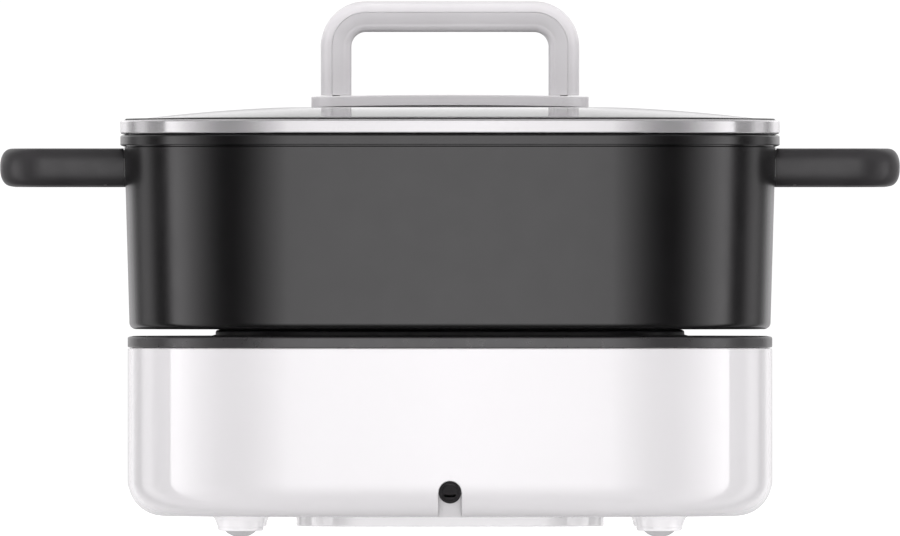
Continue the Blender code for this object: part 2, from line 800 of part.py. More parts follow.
def thermal_cutouts(base):
    """The thermostat and the fuse, both against the underside of the heating plate."""
    top = PLATE_UNDERSIDE - GAP
    thermostat = [
        (0, top),
        (0.0085, top),
        (0.0085, top - 0.0030),
        (0.0075, top - 0.0035),
        (0.0075, top - 0.0100),
        (0, top - 0.0100),
    ]
    turned("thermostat", thermostat, CERAMIC, base, (0.0300, 0.0280, 0), steps=14)
    fuse_radius = 0.0024
    fuse = rod(fuse_radius, -0.0100, 0.0100)
    location = (-0.0300, -0.0280, top - fuse_radius)
    turned("thermal_fuse", fuse, CERAMIC, base, location, (0, math.pi / 2, 0), steps=12)


# ---------------------------------------------------------------- controls and wiring


def controls(base):
    """The knob and its shaft turn. The switch, its nut and the light ring stay with the base."""
    dial = group("dial_group", (0, 0, KNOB_Z))
    centre = (0, 0, KNOB_Z)
    back = POCKET_FLOOR_Y + 0.0006
    face = back + 0.0047
    cup = [
        (0, face),
        (KNOB_RADIUS - 0.0020, face),
        (KNOB_RADIUS, face - 0.0014),
        (KNOB_RADIUS, back),
        (KNOB_RADIUS - 0.0019, back),
        (KNOB_RADIUS - 0.0019, back + 0.0027),
        (0, back + 0.0027),
    ]
    knob = turned("control_knob", cup, BLACK_PLASTIC, dial, centre, FACING_Y, steps=28)
    bar_low = face - 0.0010
    bar = cutter(
        cube_mesh((0.0090, KNOB_FACE_Y - bar_low, 0.0480)), (0, (KNOB_FACE_Y + bar_low) / 2, KNOB_Z)
    )
    rounding = bar.modifiers.new("rounding", "BEVEL")
    rounding.width = 0.0018
    rounding.segments = 2
    join(knob, bar)
    cut(knob, turned_cutter(rod(SHAFT_RADIUS + 0.0002, 0.120, 0.1362), centre, FACING_Y, 16))
    shaft = rod(SHAFT_RADIUS, 0.1153, 0.1358)
    turned("switch_shaft", shaft, SHEET_STEEL, dial, centre, FACING_Y, steps=16)
    size = (0.0240, SWITCH_DEPTH, 0.0240)
    switch = box("rotary_switch", size, BLACK_PLASTIC, base, (0, SWITCH_Y, KNOB_Z), 0.0010)
    join(switch, turned_cutter(rod(0.0045, 0.1200, 0.1288), centre, FACING_Y, 16))
    cut(switch, turned_cutter(rod(SHAFT_RADIUS + GAP, 0.1150, 0.1400), centre, FACING_Y, 16))
    nut = turned(
        "switch_nut",
        tube_profile(0.0055, 0.0080, POCKET_FLOOR_Y + GAP, 0.1284),
        SHEET_STEEL,
        base,
        centre,
        FACING_Y,
        steps=6,
    )
    nut.modifiers["turn"].use_smooth_shade = False
    ring = tube_profile(POCKET_RADIUS + 0.0002, POCKET_RADIUS + 0.0023, RING_SEAT_Y + GAP, BASE_HALF)
    turned("indicator_ring", ring, LIGHT_GUIDE, base, centre, FACING_Y, steps=28)


def cord_gland(base):
    """The rubber bush in the cord outlet, with a shoulder inside the housing."""
    mouth, inner_end, shoulder = -0.1348, -0.1190, 0.0070
    shoulder_face = GLAND_BLOCK_FACE_Y + GAP
    profile = [
        (GLAND_RADIUS - 0.0004, mouth),
        (CORD_HOLE_RADIUS + 0.0002, mouth),
        (CORD_HOLE_RADIUS, mouth + 0.0003),
        (CORD_HOLE_RADIUS, inner_end),
        (shoulder, inner_end),
        (shoulder, shoulder_face),
        (GLAND_RADIUS, shoulder_face),
        (GLAND_RADIUS, mouth + 0.0004),
    ]
    turned("cord_gland", profile, SILICONE, base, (0, 0, GLAND_Z), FACING_Y, steps=16)


def circuit_board(base):
    board_low = BOARD_TOP - BOARD_THICKNESS
    centre = (0, BOARD_Y, (BOARD_TOP + board_low) / 2)
    board = box("circuit_board", (0.1000, 0.0740, BOARD_THICKNESS), BOARD_GREEN, base, centre, 0.0002)
    for _, (side_x, side_y) in four_places(1):
        x, y = side_x * BOARD_HOLE_X, BOARD_Y + side_y * BOARD_HOLE_Y
        cut(board, turned_cutter(rod(0.0018, 0.010, 0.040), (x, y, 0), steps=12))
        if side_x == side_y:
            name = "board_screw_right" if side_x > 0 else "board_screw_left"
            seat = (x, y, BOARD_TOP + 0.0002)
            turned(name, screw_profile(*BOARD_SCREW), SHEET_STEEL, base, seat, FACING_DOWN, steps=12)
    stand = BOARD_TOP + GAP

    def on_board(name, size, look, x, y):
        box(name, size, look, base, (x, y, stand + size[2] / 2))

    on_board("relay", (0.0200, 0.0160, 0.0155), RELAY_BLUE, -0.0240, 0.0080)
    on_board("transformer", (0.0220, 0.0200, 0.0170), TAPE_YELLOW, 0.0220, 0.0060)
    on_board("terminal_block", (0.0300, 0.0100, TERMINAL_HEIGHT), BLACK_PLASTIC, 0, TERMINAL_Y)
    can = rod(0.0055, stand, stand + 0.0130)
    turned("capacitor", can, BLACK_PLASTIC, base, (0.0250, -0.0220, 0), steps=20)


def bezier(a, b, c, d, steps):
    """Points of a cubic curve from a to d, with b and c as its handles."""
    a, b, c, d = Vector(a), Vector(b), Vector(c), Vector(d)
    points = []
    for k in range(steps + 1):
        t = k / steps
        s = 1 - t
        points.append(a * s**3 + b * 3 * s * s * t + c * 3 * s * t * t + d * t**3)
    return points


def wiring(base):
    """Leads from the terminal block up to the element's ends, and from the board to the switch."""
    lead_radius = 0.0012
    block_top = BOARD_TOP + GAP + TERMINAL_HEIGHT + GAP
    for name, side, (end_x, end_y) in zip(("left", "right"), (-1, 1), element_ends()):
        start = Vector((side * 0.0080, TERMINAL_Y, block_top))
        end = Vector((end_x, end_y, ELEMENT_END_Z - GAP))
        points = bezier(start, start + Vector((0, 0, 0.010)), end - Vector((0, 0, 0.014)), end, 10)
        wire(f"heater_lead_{name}", points, lead_radius, WIRE_RED, base)
    start = Vector((0, 0.0200, BOARD_TOP + GAP))
    end = Vector((0, SWITCH_Y - SWITCH_DEPTH / 2 - GAP, KNOB_Z))
    points = bezier(start, start + Vector((0, 0, 0.018)), end - Vector((0, 0.030, 0)), end, 10)
    wire("switch_lead", points, lead_radius, BLACK_PLASTIC, base)


# ---------------------------------------------------------------- pot


def pot_body(pot):
    """The cast pot: a deep rounded-square dish with a rim flange and four lugs for the handles."""
    floor_z = POT_UNDERSIDE + 0.0040
    inner_foot = POT_FOOT_HALF - POT_WALL
    inner_mouth = POT_MOUTH_HALF - POT_WALL
    inner_bend, outer_bend = 0.0120, 0.0028
    inside = arc((inner_foot - inner_bend, floor_z + inner_bend), inner_bend, -90, 0, 5)
    outside = arc((POT_FOOT_HALF - outer_bend, POT_UNDERSIDE + outer_bend), outer_bend, 0, -90, 3)
    sections = [
        *inside,
        (inner_mouth, FLANGE_TOP - 0.0004),
        (inner_mouth + 0.0004, FLANGE_TOP),
        (RIM_HALF - 0.0006, FLANGE_TOP),
        (RIM_HALF, FLANGE_TOP - 0.0006),
        (RIM_HALF, FLANGE_UNDERSIDE + 0.0005),
        (RIM_HALF - 0.0005, FLANGE_UNDERSIDE),
        (POT_MOUTH_HALF, FLANGE_UNDERSIDE - 0.0002),
        *outside,
    ]
    body = piece("pot_body", skin(plan_rings(sections, CORNER_CENTRE), False), NON_STICK, pot)
    for side_x in (-1, 1):
        for side_y in (-1, 1):
            near, far = side_x * POT_FOOT_HALF, side_x * (POT_MOUTH_HALF + LUG_LENGTH)
            y = side_y * HANDLE_SPAN
            low = (min(near, far), y - 0.0024, HANDLE_Z - 0.0040)
            high = (max(near, far), y + 0.0024, HANDLE_Z + 0.0040)
            join(body, box_cutter(low, high))
            cut(body, turned_cutter(rod(0.0013, 0.1400, 0.1620), (handle_screw_x(side_x), y, 0), steps=10))


def handle_screw_x(side):
    return side * (POT_MOUTH_HALF + 0.0080)


def handle_section():
    """Across the handle's bar: a flat inner side and a crowned outer one."""
    half_height, half_depth, crown = HANDLE_HEIGHT / 2, HANDLE_THICKNESS / 2, 0.0034
    bend = 0.0020
    outer = [
        (half_depth - crown * (z / half_height) ** 2, z)
        for z in (-0.0070, -0.0038, 0, 0.0038, 0.0070)
    ]
    inner = [
        *arc((-half_depth + bend, half_height - bend), bend, 90, 180, 1),
        *arc((-half_depth + bend, -half_height + bend), bend, 180, 270, 1),
    ]
    edge = half_depth - crown - 0.0006
    return [*outer, (edge, half_height), *inner, (edge, -half_height)]


def side_handle(name, side, pot):
    """A loop handle. Its arms fit over the pot's lugs and are held by screws from below."""
    start = POT_MOUTH_HALF + GAP
    reach = OVERALL_WIDTH / 2 - HANDLE_THICKNESS / 2 - start
    flat = bent_path(HANDLE_SPAN, reach, HANDLE_BEND, 5)
    path = [(side * (start + out), across * side, HANDLE_Z) for across, out in flat]
    handle = piece(name, swept_mesh(path, handle_section()), HANDLE_PHENOLIC, pot)
    for side_y in (-1, 1):
        y = side_y * HANDLE_SPAN
        near, far = side * (start - 0.002), side * (POT_MOUTH_HALF + LUG_LENGTH + GAP)
        low = (min(near, far), y - 0.0027, HANDLE_Z - 0.0043)
        high = (max(near, far), y + 0.0027, HANDLE_Z + 0.0043)
        cut(handle, box_cutter(low, high))
        x = handle_screw_x(side)
        cut(handle, turned_cutter(rod(0.0034, 0.1400, HANDLE_Z - 0.0060), (x, y, 0), steps=14))
        cut(handle, turned_cutter(rod(0.0015, 0.1400, 0.1620), (x, y, 0), steps=10))


def handle_screws(pot):
    for side_x, name_x in ((-1, "left"), (1, "right")):
        for side_y, name_y in ((-1, "rear"), (1, "front")):
            location = (handle_screw_x(side_x), side_y * HANDLE_SPAN, HANDLE_Z - 0.0062)
            name = f"handle_screw_{name_x}_{name_y}"
            turned(name, screw_profile(*HANDLE_SCREW), SHEET_STEEL, pot, location, steps=10)


# ---------------------------------------------------------------- lid


def glass_height(half):
    """Height of the glass's upper face on the ring of that half width."""
    return GLASS_TOP - GLASS_DROP * (half / GLASS_CURVE_HALF) ** GLASS_FALL_POWER


def lid_glass(lid):
    corner_share = CORNER_CENTRE / RIM_HALF
    halves = [0.020, 0.055, 0.080, 0.100, 0.116, GLASS_CURVE_HALF]
    upper = [(half, glass_height(half)) for half in halves]
    edge_half = RIM_HALF - 0.0013
    lower = [(half, z - GLASS_THICKNESS) for half, z in upper[:-1]]
    sections = [
        *upper,
        (GLASS_EDGE_INNER, GLASS_EDGE_TOP),
        (edge_half, GLASS_EDGE_TOP - 0.0006),
        (edge_half, GLASS_EDGE_LOW),
        (GLASS_EDGE_INNER, GLASS_EDGE_LOW),
        *reversed(lower),
    ]
    rings = [rounded_square(half, half * corner_share, z) for half, z in sections]
    glass = piece("lid_glass", skin(rings, False), LID_GLASS, lid)
    for x in (-LID_SCREW_X, LID_SCREW_X):
        cut(glass, turned_cutter(rod(0.0032, UNDER_GLASS, OVER_GLASS), (x, 0, 0), steps=12))
    cut(glass, turned_cutter(rod(0.0040, UNDER_GLASS, OVER_GLASS), (0, VENT_Y, 0), steps=12))


def lid_rim(lid):
    """The rolled steel band around the glass, with a skirt that drops into the pot's mouth."""
    inside = RIM_HALF - RIM_SHEET
    sections = [
        (RIM_HALF - 0.0004, LID_RIM_UNDERSIDE),
        (RIM_HALF, LID_RIM_UNDERSIDE + 0.0004),
        (RIM_HALF, LID_RIM_TOP - 0.0008),
        (RIM_HALF - 0.0008, LID_RIM_TOP),
        (RIM_INNER, LID_RIM_TOP),
        (RIM_INNER, LID_RIM_TOP - RIM_SHEET),
        (inside, LID_RIM_TOP - RIM_SHEET - 0.0001),
        (inside, LID_RIM_UNDERSIDE + RIM_SHEET),
        (SKIRT_INNER, LID_RIM_UNDERSIDE + RIM_SHEET),
        (SKIRT_INNER, SKIRT_LOW),
        (SKIRT_OUTER, SKIRT_LOW),
        (SKIRT_OUTER, LID_RIM_UNDERSIDE),
    ]
    piece("lid_rim", skin(plan_rings(sections, CORNER_CENTRE), True), POLISHED_STEEL, lid)


def sagging_slab(name, half_length, depth, low, high, look, lid):
    """A long plate with round ends that follows the glass: its ends hang a little lower than its middle."""
    end = depth / 2
    bend_end = [(half_length - end + end * math.sin(a), end * math.cos(a)) for a in quarter_turn(5)]
    stations = [(0, depth / 2), (0.015, depth / 2), (0.030, depth / 2), *bend_end]
    stations = [(-x, half) for x, half in reversed(stations[1:])] + stations
    chamfer = min(0.0005, (high - low) / 3)
    rings = []
    for x, half in stations:
        sag = GRIP_PLATE_SAG * (x / GRIP_PLATE_HALF) ** 2
        section = [
            (-half, low),
            (half, low),
            (half, high - chamfer),
            (half - chamfer, high),
            (-half + chamfer, high),
            (-half, high - chamfer),
        ]
        rings.append([Vector((x, y, z - sag)) for y, z in section])
    return piece(name, skin(rings, False), look, lid)


def quarter_turn(steps):
    """Angles from 0 to a little under a right angle, so that an end never closes to a line."""
    return [math.radians(80) * step / steps for step in range(steps + 1)]


def grip_section():
    """Across the grip's bar: a crowned outer side, a crease, and sides that close in to a round edge."""
    out, deep = GRIP_THICKNESS / 2, GRIP_DEPTH / 2
    crease = out - 0.0048
    crown = [(out - 0.0006, 0.0062), (out, 0.0030), (out, -0.0030), (out - 0.0006, -0.0062)]
    bend = 0.0030
    lower = arc((-out + bend, -deep + 0.0018 + bend), bend, 260, 180, 2)
    upper = [(x, -y) for x, y in reversed(lower)]
    return [
        *crown,
        (out - 0.0022, -0.0090),
        (crease, -deep),
        *lower,
        *upper,
        (crease, deep),
        (out - 0.0022, 0.0090),
    ]


def lid_grip(lid):
    """The U-shaped grip bar, its plate, the gasket under the plate and all their screws."""
    gasket_low = GLASS_TOP + 0.0001
    plate_low = gasket_low + GRIP_GASKET_THICKNESS + 0.0001
    plate_high = plate_low + GRIP_PLATE_THICKNESS
    gasket = sagging_slab(
        "lid_handle_gasket",
        GRIP_PLATE_HALF - 0.0006,
        GRIP_PLATE_DEPTH - 0.0012,
        gasket_low,
        gasket_low + GRIP_GASKET_THICKNESS,
        SILICONE,
        lid,
    )
    plate = sagging_slab(
        "lid_handle_plate", GRIP_PLATE_HALF, GRIP_PLATE_DEPTH, plate_low, plate_high, GRIP_PLASTIC, lid
    )
    foot = plate_high - GRIP_PLATE_SAG * (GRIP_LEG_X / GRIP_PLATE_HALF) ** 2 + GAP + 0.0001
    flat = bent_path(GRIP_LEG_X, GRIP_TOP - GRIP_THICKNESS / 2 - foot, GRIP_BEND, 6)
    path = [(x, 0, foot + z) for x, z in flat]
    grip = piece("lid_handle_grip", swept_mesh(path, grip_section()), GRIP_PLASTIC, lid)
    for side, name in ((-1, "left"), (1, "right")):  # left and right as seen from the cord side
        x = side * GRIP_LEG_X
        cut(grip, turned_cutter(rod(0.0019, 0.180, foot + 0.011), (x, 0, 0), steps=12))
        counterbore = [
            (0, 0.190),
            (0.0021, 0.190),
            (0.0021, plate_low + 0.0010),
            (0.0034, plate_low + 0.0010),
            (0.0034, 0.175),
            (0, 0.175),
        ]
        cut(plate, turned_cutter(counterbore, (x, 0, 0), steps=12))
        seat = (x, 0, plate_low + 0.0008)
        turned(f"grip_screw_{name}", screw_profile(*GRIP_SCREW), SHEET_STEEL, lid, seat, steps=14)
        x = side * LID_SCREW_X
        bore = rod(0.0022, 0.175, plate_high - 0.0010)
        cut(plate, turned_cutter(bore, (x, 0, 0), steps=10))
        cut(gasket, turned_cutter(rod(0.0032, 0.175, OVER_GLASS), (x, 0, 0), steps=10))
        under = glass_height(LID_SCREW_X) - GLASS_THICKNESS - GAP
        washer = tube_profile(0.0023, 0.0068, under - LID_WASHER_THICKNESS, under)
        turned(f"lid_washer_{name}", washer, SILICONE, lid, (x, 0, 0), steps=16)
        head_seat = under - LID_WASHER_THICKNESS - GAP
        length = plate_high - 0.0014 - head_seat
        profile = screw_profile(*LID_SCREW_HEAD, LID_SCREW_SHANK_RADIUS, length)
        screw = turned(f"lid_screw_{name}", profile, POLISHED_STEEL, lid, (x, 0, head_seat), steps=20)
        cross_recess(screw, (x, 0, head_seat), 0.0062, 0.0012, LID_SCREW_HEAD[1])
    for x in (-GRIP_LEG_X, GRIP_LEG_X):
        cut(gasket, turned_cutter(rod(0.0036, 0.175, OVER_GLASS), (x, 0, 0), steps=10))


def steam_vent(lid):
    """A steel eyelet in the glass that lets steam out."""
    top = glass_height(VENT_Y)
    low = top - GLASS_THICKNESS
    slope = 0.0006
    profile = [
        (0.0052, top + slope + 0.0007),
        (0.0062, top + slope + 0.0003),
        (0.0062, top + slope),
        (0.0037, top + slope),
        (0.0037, low - slope),
        (0.0055, low - slope),
        (0.0055, low - slope - 0.0006),
        (0.0022, low - slope - 0.0006),
        (0.0022, top + slope + 0.0007),
    ]
    turned("steam_vent", profile, POLISHED_STEEL, lid, (0, VENT_Y, 0), steps=18)


def build():
    base = group("base_group")
    base_housing(base)
    bottom_cover(base)
    top_panel(base)
    housing_screws(base)
    foot_pads(base)
    heating_plate(base)
    heating_element(base)
    plate_seal(base)
    heat_shield(base)
    shield_screws(base)
    temperature_sensor(base)
    thermal_cutouts(base)
    controls(base)
    cord_gland(base)
    circuit_board(base)
    wiring(base)
    pot = group("pot_group", (0, 0, POT_UNDERSIDE))
    pot_body(pot)
    side_handle("pot_handle_left", -1, pot)
    side_handle("pot_handle_right", 1, pot)
    handle_screws(pot)
    lid = group("lid_group", (0, 0, LID_RIM_UNDERSIDE))
    lid_glass(lid)
    lid_rim(lid)
    lid_grip(lid)
    steam_vent(lid)


build()
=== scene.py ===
"""Looks of the electric hot pot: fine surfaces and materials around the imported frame, in a plain studio.

Metres, +Z up, the frame's own origin. -Y is the cord side and +Y the control side. X runs through the
pot's handles.
"""

import json
import math

import bmesh
import bpy
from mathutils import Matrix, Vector


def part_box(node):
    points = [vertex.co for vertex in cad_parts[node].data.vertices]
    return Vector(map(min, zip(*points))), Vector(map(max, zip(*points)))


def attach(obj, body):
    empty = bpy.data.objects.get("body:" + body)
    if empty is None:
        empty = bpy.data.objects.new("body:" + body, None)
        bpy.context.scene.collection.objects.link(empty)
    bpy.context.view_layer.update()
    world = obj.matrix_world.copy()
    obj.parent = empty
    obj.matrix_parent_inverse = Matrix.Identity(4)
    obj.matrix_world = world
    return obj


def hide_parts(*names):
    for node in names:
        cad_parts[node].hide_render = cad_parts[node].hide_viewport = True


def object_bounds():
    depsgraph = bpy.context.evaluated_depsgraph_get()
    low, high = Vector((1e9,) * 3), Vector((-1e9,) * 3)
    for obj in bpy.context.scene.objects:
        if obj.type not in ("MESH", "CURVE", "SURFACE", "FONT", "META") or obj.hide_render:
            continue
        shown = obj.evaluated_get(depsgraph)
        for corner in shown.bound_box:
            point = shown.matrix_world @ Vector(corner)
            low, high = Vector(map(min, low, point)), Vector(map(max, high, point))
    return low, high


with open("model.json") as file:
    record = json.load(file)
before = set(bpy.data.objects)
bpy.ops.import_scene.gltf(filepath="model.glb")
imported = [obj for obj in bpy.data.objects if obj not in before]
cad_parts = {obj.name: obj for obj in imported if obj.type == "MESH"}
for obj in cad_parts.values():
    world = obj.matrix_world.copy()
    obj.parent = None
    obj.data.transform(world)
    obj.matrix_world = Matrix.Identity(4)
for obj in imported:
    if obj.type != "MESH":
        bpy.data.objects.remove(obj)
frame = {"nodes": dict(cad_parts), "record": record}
CAD_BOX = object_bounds()
NODES = frame["nodes"]
NODE_SLOT = {part["node"]: part["material_slot"] for part in frame["record"]["subparts"]}
BODY_OF = {
    node: body for body, nodes in frame["record"]["behaviour"]["bodies"].items() for node in nodes
}

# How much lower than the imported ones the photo's pot rim, steel band and grip seat are
RIM_DROP = 0.0009
BAND_DROP = 0.0005
GRIP_DROP = 0.0012

# Outer sizes come from the frame's boxes. A half is half the width of a rounded square.
BASE_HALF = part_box("top_panel")[1].x
HOUSING_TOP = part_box("base_housing")[1].z
FOOT_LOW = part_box("base_housing")[0].z
PANEL_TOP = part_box("top_panel")[1].z
COVER_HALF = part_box("bottom_cover")[1].x
COVER_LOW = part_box("bottom_cover")[0].z
PLATE_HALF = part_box("heating_plate")[1].x
PLATE_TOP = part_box("heating_plate")[1].z
RIM_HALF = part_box("pot_body")[1].y
POT_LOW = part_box("pot_body")[0].z
LUG_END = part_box("pot_body")[1].x
POT_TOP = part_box("pot_body")[1].z - RIM_DROP
HANDLE_LOW, HANDLE_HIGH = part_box("pot_handle_right")
HANDLE_Z = (HANDLE_LOW.z + HANDLE_HIGH.z) / 2
GLASS_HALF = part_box("lid_glass")[1].x
GLASS_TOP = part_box("lid_glass")[1].z
RIM_LOW = POT_TOP + 0.0007
RIM_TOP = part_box("lid_rim")[1].z - BAND_DROP
GRIP_LOW, GRIP_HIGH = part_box("lid_handle_grip")
GRIP_PLATE_LOW, GRIP_PLATE_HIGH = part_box("lid_handle_plate")
GRIP_GASKET_LOW, GRIP_GASKET_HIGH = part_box("lid_handle_gasket")
GRIP_SEAT = GLASS_TOP - GRIP_DROP
KNOB_LOW, KNOB_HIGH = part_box("control_knob")
RING_LOW, RING_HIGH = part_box("indicator_ring")
KNOB_Z = (RING_LOW.z + RING_HIGH.z) / 2
GLAND_LOW, GLAND_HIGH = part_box("cord_gland")
GLAND_Z = (GLAND_LOW.z + GLAND_HIGH.z) / 2

# Where the corner arcs of each outline turn, and how much the long sides bow
CORNER_CENTRE = 0.0680
PLATE_CORNER_CENTRE = 0.0608
COVER_CORNER_CENTRE = 0.0400
CORNER_STEPS = 20
BOW = 0.0010
BOW_STEPS = 12

HOUSING_UNDERSIDE = 0.0087
HOUSING_FILLET = 0.0150
HOUSING_WALL = 0.0026
OUTSIDE_Y = 0.1450
POT_MOUTH_HALF = 0.1373
POT_FOOT_HALF = 0.1351
POT_WALL = 0.0030
POT_FLOOR = POT_LOW + 0.0040
FLANGE_LOW = 0.1648
GLASS_THICKNESS = 0.0040
GLASS_DROP = 0.0062
GLASS_FALL_POWER = 2.75
GLASS_CURVE_HALF = 0.1300
LID_SCREW_X = 0.0279
VENT_Y = 0.0750
GRIP_BEND = 0.0127
GRIP_THICKNESS = 0.0130
GRIP_PLATE_SAG = 0.00075
GLAND_RADIUS = 0.0046
CHANNEL_RADIUS = 0.0050
KNOB_DISH_RADIUS = 0.0302
FOOT_PLACE = 0.0880
FOOT_PAD_RADIUS = 0.0066
SCREW_PLACE = 0.1000
WELL_RADIUS = 0.0042
HANDLE_HALF_WIDTH = 0.0560

CEILING = (0.17, 0.168, 0.17)
FLOOR_GLOW = 0.76
BEHIND_GLASS = 0.74
FACING_FRONT = "Y"  # turned about an axis that runs along +Y


# ---- meshes


def arc(centre, radius, start_degrees, end_degrees, steps):
    angles = [
        math.radians(start_degrees + (end_degrees - start_degrees) * k / steps) for k in range(steps + 1)
    ]
    return [(centre[0] + radius * math.cos(a), centre[1] + radius * math.sin(a)) for a in angles]


def bowed_in(x):
    """How far the long sides have curved inwards at x, against a straight side."""
    reach = abs(x) / CORNER_CENTRE
    return BOW * (reach**2 if reach < 1 else 2 * reach - 1)


def rounded_square(half, corner_centre, z, bowed=False):
    """A level ring of points whose corner arcs turn about (corner_centre, corner_centre).

    A bowed one has its two long sides curved a little, as the housing, the pot and the lid have."""
    radius = half - corner_centre
    ring = []
    for quarter, (side_x, side_y) in enumerate(((1, 1), (-1, 1), (-1, -1), (1, -1))):
        centre = (side_x * corner_centre, side_y * corner_centre)
        corner = arc(centre, radius, quarter * 90, quarter * 90 + 90, CORNER_STEPS)
        ring += [Vector((x, y, z)) for x, y in corner]
        if quarter in (0, 2):
            straight = [side_x * corner_centre * (1 - 2 * k / BOW_STEPS) for k in range(1, BOW_STEPS)]
            ring += [Vector((x, side_y * half, z)) for x in straight]
    if bowed:
        share = half / RIM_HALF
        for point in ring:
            point.y -= math.copysign(bowed_in(point.x) * share, point.y)
    return ring


def plan_rings(sections, corner_centre=CORNER_CENTRE):
    """Rings for (half, z) sections, bowed where the corner centre is that of the body's outline."""
    return [rounded_square(half, corner_centre, z, corner_centre == CORNER_CENTRE) for half, z in sections]


def circle_ring(radius, height, steps, facing=None, centre=(0, 0, 0)):
    """A round ring at that height along its axis, which is +Z, or +Y when it faces the front."""
    ring = []
    for x, y in arc((0, 0), radius, 0, 360, steps)[:-1]:
        point = Vector((x, height, -y)) if facing == FACING_FRONT else Vector((x, y, height))
        ring.append(point + Vector(centre))
    return ring


def finished(bm):
    bmesh.ops.recalc_face_normals(bm, faces=bm.faces)
    mesh = bpy.data.meshes.new("mesh")
    bm.to_mesh(mesh)
    bm.free()
    return mesh


def skin(rings, closed=False, bands=()):
    """A loft through rings of equal length: closed on itself, or capped at both ends.

    bands are the indices of a ring's points whose strips take the second material."""
    bm = bmesh.new()
    loops = [[bm.verts.new(point) for point in ring] for ring in rings]
    pairs = list(zip(loops, loops[1:]))
    if closed:
        pairs.append((loops[-1], loops[0]))
    for first, second in pairs:
        for k in range(len(first)):
            after = (k + 1) % len(first)
            face = bm.faces.new((first[k], second[k], second[after], first[after]))
            face.material_index = 1 if k in bands else 0
    if not closed:
        bm.faces.new(loops[0])
        bm.faces.new(loops[-1])
    return finished(bm)


def turned(profile, steps, facing=None, centre=(0, 0, 0), closed=False):
    """A round body from the (radius, height) points of its profile."""
    return skin([circle_ring(radius, height, steps, facing, centre) for radius, height in profile], closed)


def sweep(path, section, up, bands=()):
    """A section of (outwards, along up) points, carried along a flat open path."""
    up = Vector(up)
    rings = []
    for k, point in enumerate(path):
        ahead = path[min(k + 1, len(path) - 1)] - path[max(k - 1, 0)]
        outwards = ahead.cross(up).normalized()
        rings.append([point + outwards * a + up * b for a, b in section])
    return skin(rings, bands=bands)


def merged(*meshes):
    """Several closed meshes as one mesh."""
    bm = bmesh.new()
    for mesh in meshes:
        bm.from_mesh(mesh)
    return finished(bm)


def cut_away(mesh, *cutters):
    """The mesh after exact Booleans, with its helpers removed."""
    holder = bpy.data.objects.new("holder", mesh)
    bpy.context.scene.collection.objects.link(holder)
    helpers = []
    for operation, cutter in cutters:
        helper = bpy.data.objects.new("helper", cutter)
        bpy.context.scene.collection.objects.link(helper)
        helpers.append(helper)
        boolean = holder.modifiers.new("cut", "BOOLEAN")
        boolean.operation = operation
        boolean.object = helper
        boolean.solver = "EXACT"
    graph = bpy.context.evaluated_depsgraph_get()
    made = bpy.data.meshes.new_from_object(holder.evaluated_get(graph))
    for obj in (holder, *helpers):
        bpy.data.objects.remove(obj)
    return made


def prism(outline, half_width):
    """A prism along X with its outline as (y, z) points."""
    return skin([[Vector((x, y, z)) for y, z in outline] for x in (-half_width, half_width)])


def rounded_box(low, high, radius, steps):
    """A box with every edge rounded."""
    low, high = Vector(low), Vector(high)
    bm = bmesh.new()
    bmesh.ops.create_cube(bm, size=1.0)
    size = high - low
    for vert in bm.verts:
        vert.co = (low + high) / 2 + Vector((vert.co.x * size.x, vert.co.y * size.y, vert.co.z * size.z))
    bmesh.ops.bevel(bm, geom=bm.edges, offset=radius, segments=steps, profile=0.5, affect="EDGES")
    return finished(bm)


def piece(name, mesh, body, slot, looks=None, stands_for=(), sharp_degrees=32):
    """A visible piece of the object on its body, with the looks given, or else those of its record slot."""
    looks = looks or LOOKS[slot]
    obj = bpy.data.objects.new(name, mesh)
    bpy.context.scene.collection.objects.link(obj)
    mesh.materials.clear()
    for look in looks if isinstance(looks, (list, tuple)) else [looks]:
        mesh.materials.append(look)
    mesh.shade_smooth()
    mesh.set_sharp_from_angle(angle=math.radians(sharp_degrees))
    even = obj.modifiers.new("even_shading", "WEIGHTED_NORMAL")
    even.keep_sharp = True
    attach(obj, body)
    if stands_for:
        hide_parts(*stands_for)


# ---- materials


def join_math(tree, operation, first, second=0.0):
    """A math node's result. first and second are numbers or other nodes' outputs."""
    node = tree.nodes.new("ShaderNodeMath")
    node.operation = operation
    for socket, value in zip(node.inputs, (first, second)):
        if isinstance(value, (int, float)):
            socket.default_value = value
        else:
            tree.links.new(value, socket)
    return node.outputs[0]


def mapped(tree, value, start, end, low, high, course="LINEAR"):
    """A result that runs from low to high as value goes from start to end, and holds outside them."""
    node = tree.nodes.new("ShaderNodeMapRange")
    node.interpolation_type = course
    for name, given in zip(("From Min", "From Max", "To Min", "To Max"), (start, end, low, high)):
        node.inputs[name].default_value = given
    tree.links.new(value, node.inputs["Value"])
    return node.outputs["Result"]


